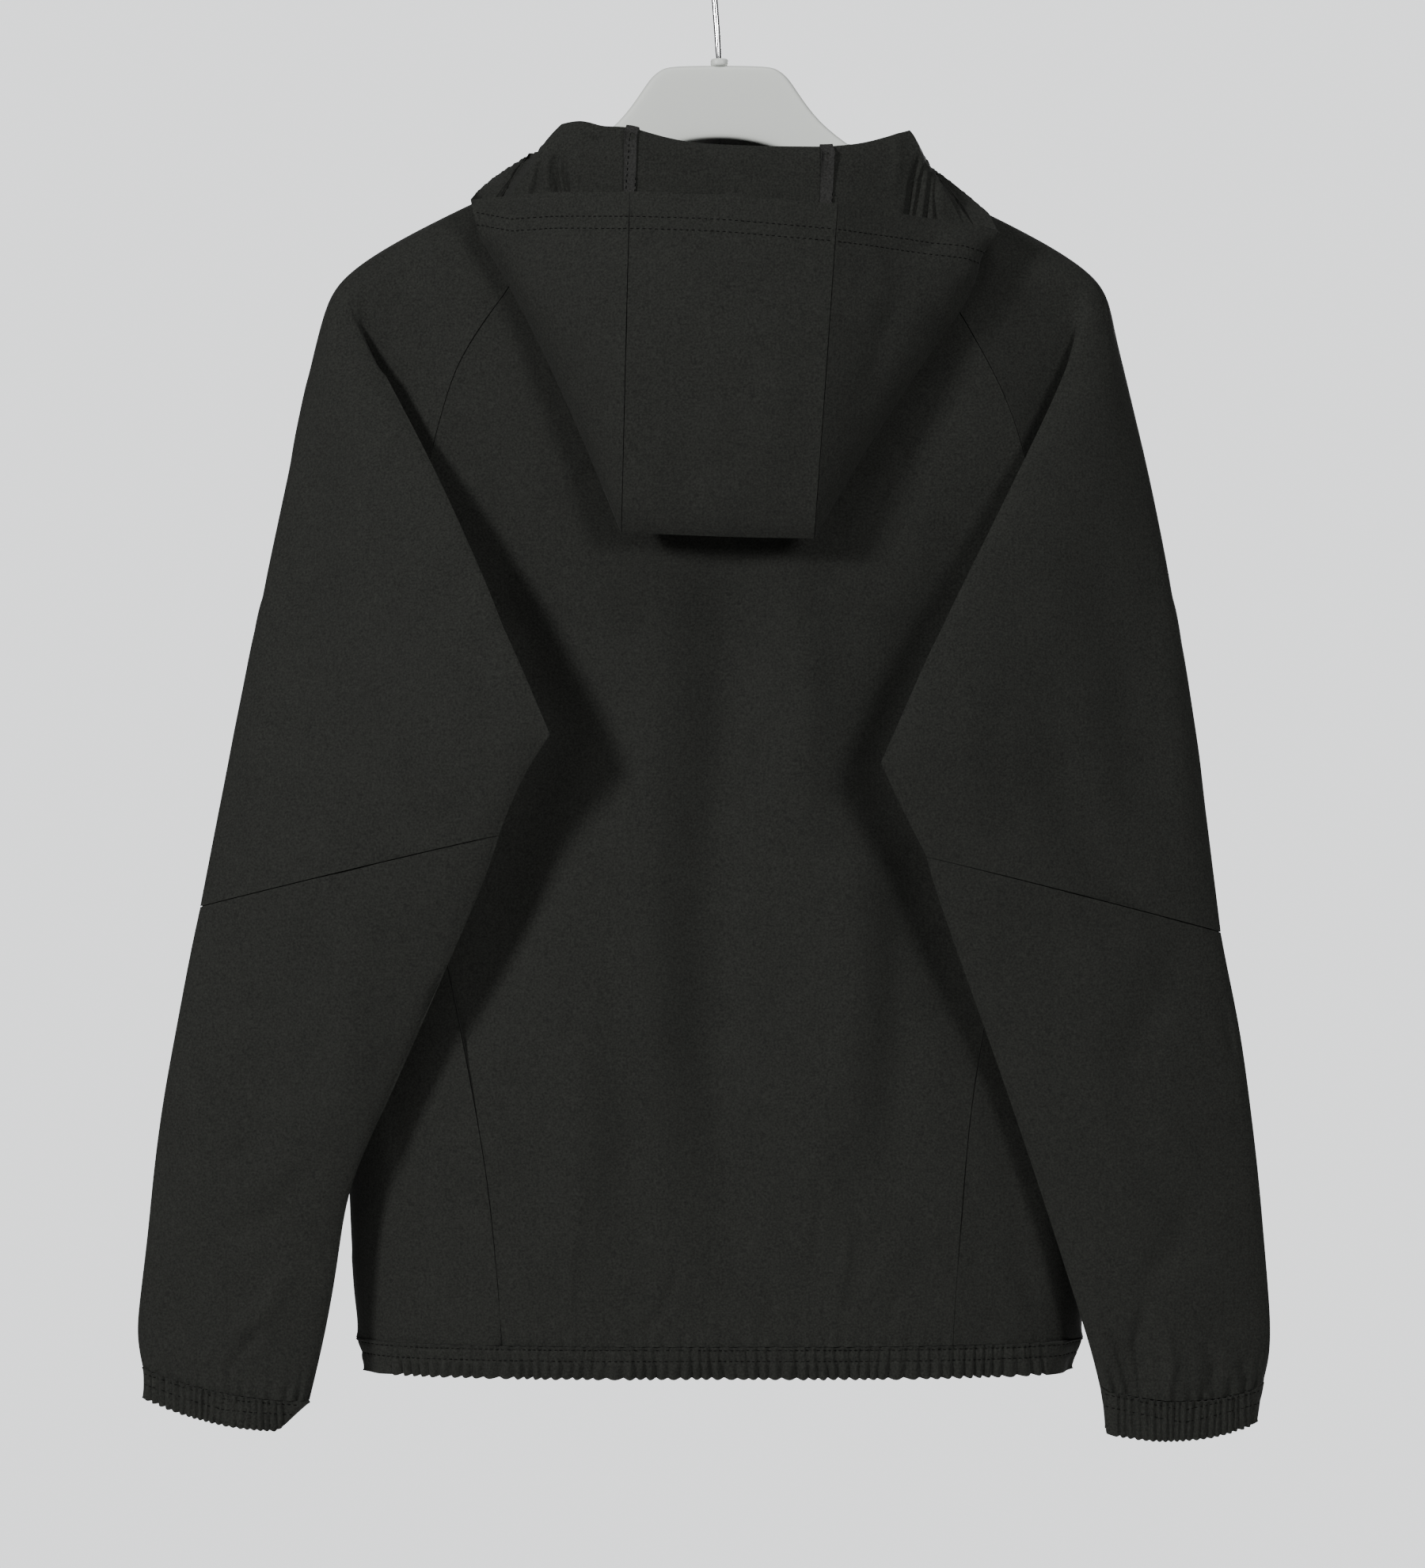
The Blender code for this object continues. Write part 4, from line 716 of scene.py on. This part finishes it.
places[:, 2] -= big * 1.4 * smooth_step(-below, 15.0, 19.0) * near_zip
write_points(hem, places)
cloth["hem_band"] = hem
for side in ("left", "right"):
    name = "cuff_" + side
    cuff = fine_copy(name, name + "_cloth", 3, band_cloth)
    add_columns(cuff, 2, 0.9)
    places = with_raised_rim(cuff)
    u = along_edge(places, 40.0, 12.0)
    seed = np.where(places[:, 1] > places[:, 1].mean(), 5.0, 4.0)
    below = places[:, 2] - places[:, 2].max()
    ridges = gathers(u, below, CUFF_PITCHES[0], seed) - GATHER_MIDDLE
    ruffle = gathers(u, below, CUFF_PITCHES[1], seed + 1.0) - GATHER_MIDDLE
    lift = ridges * 2.1 + ruffle
    places += outward_of(places, 0.12) * lift[:, None]
    places[:, 2] -= ridges * smooth_step(-below, 4.0, 14.0)
    write_points(cuff, places)
    cloth[name] = cuff
print("bands", [len(cloth[n].data.polygons) for n in ("hem_band", "cuff_left", "cuff_right")])

# %% [markdown]
# Sewing. Each stitch is a short thread that comes up out of the cloth and goes down again. A row
# follows a line given in x and z, on the cloth that a ray along Y meets first.


# %% Stitches
THREAD_CORNERS = 5
THREAD_RINGS = (
    # share of the stitch's length, height and thickness, both in thread radii
    (0.0, -0.4, 0.5),
    (0.25, 0.7, 1.0),
    (0.75, 0.7, 1.0),
    (1.0, -0.4, 0.5),
)
LARGEST_STEP = 6.0 * STITCH_PITCH    # a wider step is a jump to other cloth, with no stitch


def row_on_cloth(piece, line, way):
    """Points every half millimetre along a line, on the side of a piece that way gives."""
    tree = tree_of(piece)
    found = []
    for (ax, az), (bx, bz) in zip(line, line[1:]):
        steps = max(2, int(math.hypot(bx - ax, bz - az) / 0.5))
        for k in range(steps):
            x = ax + (bx - ax) * k / steps
            z = az + (bz - az) * k / steps
            start = Vector((x * MM, way * 0.3, z * MM))
            place, normal, _, _ = tree.ray_cast(start, Vector((0, -way, 0)), 0.6)
            if place is not None:
                found.append((place, normal))
    return found


def thread(build, start, end, normal):
    """One stitch as a small round bar, arched a little and pointed at its ends."""
    along = (end - start).normalized()
    across = along.cross(normal).normalized()
    rings = []
    for share, high, thick in THREAD_RINGS:
        middle = start.lerp(end, share) + normal * (high * THREAD_RADIUS * MM)
        ring = []
        for k in range(THREAD_CORNERS):
            turn = 2 * math.pi * k / THREAD_CORNERS
            out = across * math.cos(turn) + normal * math.sin(turn)
            ring.append(build.verts.new(middle + out * (THREAD_RADIUS * thick * MM)))
        rings.append(ring)
    for a, b in zip(rings, rings[1:]):
        for k in range(THREAD_CORNERS):
            n = (k + 1) % THREAD_CORNERS
            build.faces.new((a[k], a[n], b[n], b[k]))
    build.faces.new(rings[0][::-1])
    build.faces.new(rings[-1])


def sew(name, piece, lines, way):
    """All the stitches of some rows on one piece, as one mesh of their own."""
    build = bmesh.new()
    count = 0
    for line in lines:
        found = row_on_cloth(piece, line, way)
        gone = 0.0
        start = 0
        for k in range(1, len(found)):
            gone += (found[k][0] - found[k - 1][0]).length / MM
            if gone > LARGEST_STEP:
                start, gone = k, 0.0
            elif gone >= STITCH_LENGTH and start is not None:
                thread(build, found[start][0], found[k][0], found[start][1])
                count += 1
                start = None
            elif start is None and gone >= STITCH_PITCH:
                start, gone = k, 0.0
    mesh = bpy.data.meshes.new(name)
    build.to_mesh(mesh)
    build.free()
    mesh.shade_smooth()
    # The thread material is painted darker than the cloth: painted shade of the stitch holes on
    # top of the thread's own black.
    mesh.materials.append(thread_painted_shade)
    made = bpy.data.objects.new(name, mesh)
    bpy.context.scene.collection.objects.link(made)
    print(name, count, "stitches")
    return made


sewing = {node: [] for node in cloth}
for way, seen_from in ((-1, "back"), (1, "front")):
    halves = ((-214.0, 214.0),) if way < 0 else ((-214.0, -16.0), (16.0, 214.0))
    lines = [((a, z), (b, z)) for z in HEM_ROWS_Z for a, b in halves]
    sewing["hem_band"].append(sew("hem_stitches_" + seen_from, cloth["hem_band"], lines, way))
CUFF_ROWS = {
    # the two ends of the cuff's seam, x and z, how far it sags, and how far below it rows lie
    "left": (((-334.0, -863.4), (-241.0, -880.0)), 4.0, (3.6, 9.6)),
    "right": (((314.0, -873.4), (222.0, -873.0)), 9.0, (3.6, 10.6)),
}
for side, (seam, sag, drops) in CUFF_ROWS.items():
    node = "cuff_" + side
    for way, seen_from in ((-1, "back"), (1, "front")):
        lines = []
        for drop in drops:
            (ax, az), (bx, bz) = seam
            middle = ((ax + bx) / 2, (az + bz) / 2 - sag - drop)
            lines.append(((ax, az - drop), middle, (bx, bz - drop)))
        sewing[node].append(sew("%s_stitches_%s" % (node, seen_from), cloth[node], lines, way))

# %% [markdown]
# The hood's face edge is turned in and held by two rows. The bindings inside it are sewn along
# both of their edges. On the fronts a row runs down each side of the zip.

# %% Rows on the hood and beside the zip
FACE_ROWS = (14.5, 21.5)
HOOD_SPANS = {
    # the first and last x of each panel's face edge
    "hood_side_left": (-141, -51),
    "hood_centre": (-51, 67),
    "hood_side_right": (67, 158),
}
for node, (first, last) in HOOD_SPANS.items():
    edge = [(x, z) for x, z in FACE_EDGE if first - 2 < x < last + 2]
    lines = [[(x, z - drop) for x, z in edge] for drop in FACE_ROWS]
    sewing[node].append(sew(node + "_stitches", cloth[node], lines, -1))
for side, x_top, x_foot in (("left", -49.6, -52.6), ("right", 70.8, 66.8)):
    node = "hood_tape_" + side
    lines = [((x_top + dx, -150.0), (x_foot + dx, -196.0)) for dx in (-2.6, 2.6)]
    sewing[node].append(sew(node + "_stitches", cloth[node], lines, -1))
for side, way in (("left", -1), ("right", 1)):
    node = "front_" + side
    lines = [((way * 16.5, -240.0), (way * 16.5, -840.0))]
    sewing[node].append(sew(node + "_stitches", cloth[node], lines, 1))

# %% [markdown]
# The zip: tapes behind the fronts' edges, a bead of teeth down the middle, and a slider with a
# bridge that holds the pull tab.


# %% Zip
for name in ("zip_tape_left", "zip_tape_right"):
    cloth[name] = fine_copy(name, name + "_cloth", 1, zip_cloth)
chain = fine_copy("zip_chain", "zip_bead", 0, zip_cloth)
for piece in (cloth["zip_tape_left"], cloth["zip_tape_right"], chain):
    places, _ = read_points(piece)
    places[:, 2] += collar_lift(places)
    write_points(piece, places)
chain_tree = tree_of(chain)
TEETH_TOP_Z = -141.0
TEETH_FOOT_Z = -866.0
TOOTH_SIZE = (3.3, 0.9, 1.7)


def block(build, middle, size, slim):
    """A small block whose outer face is slimmer than its foot."""
    corners = []
    for y, share in ((-0.5, 1.0), (0.5, slim)):
        for x, z in ((-0.5, -0.5), (0.5, -0.5), (0.5, 0.5), (-0.5, 0.5)):
            off = Vector((x * size[0] * share, y * size[1], z * size[2] * share))
            corners.append(build.verts.new((middle + off) * MM))
    for face in ((0, 1, 2, 3), (7, 6, 5, 4), (0, 4, 5, 1), (1, 5, 6, 2), (2, 6, 7, 3),
                 (3, 7, 4, 0)):
        build.faces.new([corners[k] for k in face])


build = bmesh.new()
z = TEETH_TOP_Z
side_of = 1
while z > TEETH_FOOT_Z:
    place = chain_tree.ray_cast(Vector((0.0, 0.3, z * MM)), Vector((0, -1, 0)), 0.6)[0]
    if place is not None:
        block(build, Vector((side_of * 1.05, place.y / MM + 0.1, z)), TOOTH_SIZE, 0.8)
    side_of = -side_of
    z -= TOOTH_PITCH / 2
mesh = bpy.data.meshes.new("zip_teeth")
build.to_mesh(mesh)
build.free()
mesh.materials.append(zip_plastic)
teeth = bpy.data.objects.new("zip_teeth", mesh)
bpy.context.scene.collection.objects.link(teeth)
print("teeth", len(mesh.polygons) // 6)

# %% [markdown]
# The slider is two shield plates with a bridge, and the pull tab hangs on the bridge by a slot.

# %% Slider and pull tab
SLIDER_PLATE = ((-2.6, 5.4), (2.6, 5.4), (4.0, 2.6), (3.6, -1.5), (2.7, -5.4), (-2.7, -5.4),
                (-3.6, -1.5), (-4.0, 2.6))
SLIDER_MIDDLE = (0.0, 51.1, -158.0)
SLIDER_DEPTHS = ((48.7, 49.7), (52.0, 53.1))    # the near and far side of its two plates
SLIDER_POST = ((-0.8, 5.0), (0.8, 5.0), (0.8, 2.4), (-0.8, 2.4))
BRIDGE = (
    # the bridge's middle line, as z and y
    (-153.4, 52.6), (-153.0, 54.6), (-153.4, 55.9), (-155.0, 56.4), (-158.0, 56.0),
    (-160.5, 55.0), (-162.0, 53.6), (-162.3, 52.6),
)
BRIDGE_HALF = (0.8, 0.45)    # half its width and half its thickness
PULL_OUTLINE = ((-2.0, 1.6), (0.0, 2.2), (2.0, 1.6), (2.7, 0.0), (2.4, -3.6), (2.1, -7.0),
                (2.9, -12.0), (3.0, -20.0), (2.2, -23.4), (0.0, -24.3), (-2.2, -23.4),
                (-3.0, -20.0), (-2.9, -12.0), (-2.1, -7.0), (-2.4, -3.6), (-2.7, 0.0))
PULL_SLOT = ((-0.9, 0.6), (0.0, 1.0), (0.9, 0.6), (1.2, -0.2), (1.2, -1.2), (1.2, -2.4),
             (1.1, -3.2), (0.8, -3.9), (0.4, -4.2), (0.0, -4.3), (-0.4, -4.2), (-0.8, -3.9),
             (-1.1, -3.2), (-1.2, -2.4), (-1.2, -1.2), (-1.2, -0.2))
PULL_PIN = (0.0, 54.8, -155.0)
PULL_HALF = 0.8              # half the tab's thickness


def plate(build, outline, hole, middle, near, far):
    """A flat plate between two depths, whole or with a hole of as many points as its outline."""
    mx, _, mz = middle
    rings = []
    for loop in ((outline, hole) if hole else (outline,)):
        rings.append([[build.verts.new(Vector((mx + x, y, mz + z)) * MM) for x, z in loop]
                      for y in (near, far)])
    count = len(outline)
    for k in range(count):
        n = (k + 1) % count
        for ring in rings:
            build.faces.new((ring[0][k], ring[0][n], ring[1][n], ring[1][k]))
        if hole:
            for depth in (0, 1):
                build.faces.new((rings[0][depth][k], rings[0][depth][n],
                                 rings[1][depth][n], rings[1][depth][k]))
    if not hole:
        build.faces.new(rings[0][0])
        build.faces.new(rings[0][1])


def hard_piece(name, build, material, bevel):
    bmesh.ops.recalc_face_normals(build, faces=build.faces[:])
    mesh = bpy.data.meshes.new(name)
    build.to_mesh(mesh)
    build.free()
    mesh.materials.append(material)
    made = bpy.data.objects.new(name, mesh)
    bpy.context.scene.collection.objects.link(made)
    choose(made)
    if bevel:
        rounded = made.modifiers.new("rounded", "BEVEL")
        rounded.width = bevel * MM
        rounded.segments = 2
        rounded.limit_method = "ANGLE"
        rounded.angle_limit = math.radians(40)
        bpy.ops.object.modifier_apply(modifier=rounded.name)
    bpy.ops.object.shade_smooth_by_angle(angle=math.radians(50))
    return made


build = bmesh.new()
for near, far in SLIDER_DEPTHS:
    plate(build, SLIDER_PLATE, None, SLIDER_MIDDLE, near, far)
plate(build, SLIDER_POST, None, SLIDER_MIDDLE, SLIDER_DEPTHS[0][1], SLIDER_DEPTHS[1][0])
for (az, ay), (bz, by) in zip(BRIDGE, BRIDGE[1:]):
    outward = Vector((0, bz - az, ay - by)).normalized() * -BRIDGE_HALF[1]
    ring = []
    for x in (-BRIDGE_HALF[0], BRIDGE_HALF[0]):
        for y, z in ((ay, az), (by, bz)):
            ring.append(build.verts.new(Vector((x, y + outward.y, z + outward.z)) * MM))
            ring.append(build.verts.new(Vector((x, y - outward.y, z - outward.z)) * MM))
    a, b, c, d, e, f, g, h = ring
    for face in ((a, b, d, c), (e, g, h, f), (a, c, g, e), (b, f, h, d), (a, e, f, b),
                 (c, d, h, g)):
        build.faces.new(face)
slider = hard_piece("zip_slider_body", build, zip_plastic, 0.25)
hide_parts("zip_slider")
build = bmesh.new()
near, far = PULL_PIN[1] - PULL_HALF, PULL_PIN[1] + PULL_HALF
plate(build, PULL_OUTLINE, PULL_SLOT, PULL_PIN, near, far)
pull = hard_piece("zip_pull", build, zip_plastic, 0.3)
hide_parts("zip_pull_tab")

# %% [markdown]
# The hanger is one smooth moulding, with a small boss where its wire hook goes in.

# %% Hanger and hook
hanger = fine_copy("hanger_body", "hanger_shell", 2, hanger_plastic, 100)
hook = fine_copy("hanger_hook", "hook_wire", 2, hook_chrome, 100)
bpy.ops.mesh.primitive_cylinder_add(vertices=32, radius=5.2 * MM, depth=4.4 * MM,
                                    location=(0.0, 0.0, -98.9 * MM))
boss = bpy.context.object
boss.name = "hook_boss"
bpy.ops.object.transform_apply(location=True, rotation=False, scale=False)
rounded = boss.modifiers.new("rounded", "BEVEL")
rounded.width = 1.2 * MM
rounded.segments = 3
bpy.ops.object.modifier_apply(modifier=rounded.name)
bpy.ops.object.shade_smooth_by_angle(angle=math.radians(40))
boss.data.materials.append(hanger_plastic)
hard = [chain, teeth, slider, hanger, hook, boss]

# %% [markdown]
# The size that every piece of cloth was cut to, in metres, is listed here. A tube's size is that
# of its cloth all round. Each piece and its stitches ride on the jacket.

# %% Riding
CUTS = {
    # width, length, area
    "back_panel": (0.400, 0.724, 0.2134),
    "front_left": (0.238, 0.749, 0.1131),
    "front_right": (0.238, 0.749, 0.1131),
    "side_panel_left": (0.188, 0.431, 0.0554),
    "side_panel_right": (0.180, 0.431, 0.0538),
    "sleeve_upper_left": (0.405, 0.547, 0.1258),
    "sleeve_upper_right": (0.404, 0.573, 0.1273),
    "sleeve_lower_left": (0.379, 0.337, 0.0796),
    "sleeve_lower_right": (0.375, 0.325, 0.0796),
    "cuff_left": (0.290, 0.022, 0.0063),
    "cuff_right": (0.290, 0.026, 0.0075),
    "hem_band": (1.260, 0.021, 0.0262),
    "hood_centre": (0.120, 0.474, 0.0517),
    "hood_side_left": (0.240, 0.360, 0.0342),
    "hood_side_right": (0.240, 0.360, 0.0359),
    "hood_tape_left": (0.010, 0.198, 0.0012),
    "hood_tape_right": (0.010, 0.190, 0.0012),
    "zip_tape_left": (0.014, 0.729, 0.0100),
    "zip_tape_right": (0.014, 0.729, 0.0100),
}
for node, (width, length, area) in CUTS.items():
    with_pieces = sewing.get(node, [])
    for piece in [cloth[node], *with_pieces]:
        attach(piece, "jacket")
for piece in hard:
    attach(piece, "jacket")
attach(pull, "pull_tab")

# %% [markdown]
# A plain pale floor, soft light from both sides, above and in front, and the camera straight
# behind.

# %% Stage, light and camera
bpy.ops.mesh.primitive_plane_add(size=2.6, location=(0.0, 0.0, -1.32))
floor = bpy.context.object
floor.name = "floor"
floor_paint, _ = new_material("floor_paint", (0.82, 0.82, 0.81), 0.9)
floor.data.materials.append(floor_paint)
world = bpy.data.worlds.new("studio")
bpy.context.scene.world = world
world.use_nodes = True
tree = world.node_tree
seen = tree.nodes["Background"]
seen.inputs["Color"].default_value = (0.93, 0.945, 0.96, 1.0)
seen.inputs["Strength"].default_value = 1.75
around = tree.nodes.new("ShaderNodeBackground")
around.inputs["Color"].default_value = (0.95, 0.96, 0.97, 1.0)
around.inputs["Strength"].default_value = 0.12
direct = tree.nodes.new("ShaderNodeLightPath")
choice = tree.nodes.new("ShaderNodeMixShader")
tree.links.new(direct.outputs["Is Camera Ray"], choice.inputs["Fac"])
tree.links.new(around.outputs["Background"], choice.inputs[1])
tree.links.new(seen.outputs["Background"], choice.inputs[2])
tree.links.new(choice.outputs["Shader"], tree.nodes["World Output"].inputs["Surface"])
LAMPS = (
    # name, place and size in metres, and power in watts
    ("left_softbox", (-2.05, -2.0, 0.45), 0.55, 94.0),
    ("right_softbox", (1.45, -2.55, 0.30), 0.7, 48.0),
    ("top_softbox", (0.3, -1.2, 2.0), 0.8, 22.0),
    ("front_softbox", (0.9, 2.5, -0.3), 1.4, 110.0),
)
AIM = Vector((0.0, 0.0, -0.5))
for name, place, size, power in LAMPS:
    light = bpy.data.lights.new(name, "AREA")
    light.size = size
    light.energy = power
    lamp = bpy.data.objects.new(name, light)
    lamp.location = place
    lamp.rotation_euler = (AIM - Vector(place)).to_track_quat("-Z", "Y").to_euler()
    bpy.context.scene.collection.objects.link(lamp)
camera_data = bpy.data.cameras.new("camera")
camera_data.lens = 99.25
camera = bpy.data.objects.new("camera", camera_data)
camera.location = (-0.0041, -2.55, -0.5242)
camera.rotation_euler = (math.radians(90), 0.0, 0.0)
bpy.context.scene.collection.objects.link(camera)
bpy.context.scene.camera = camera
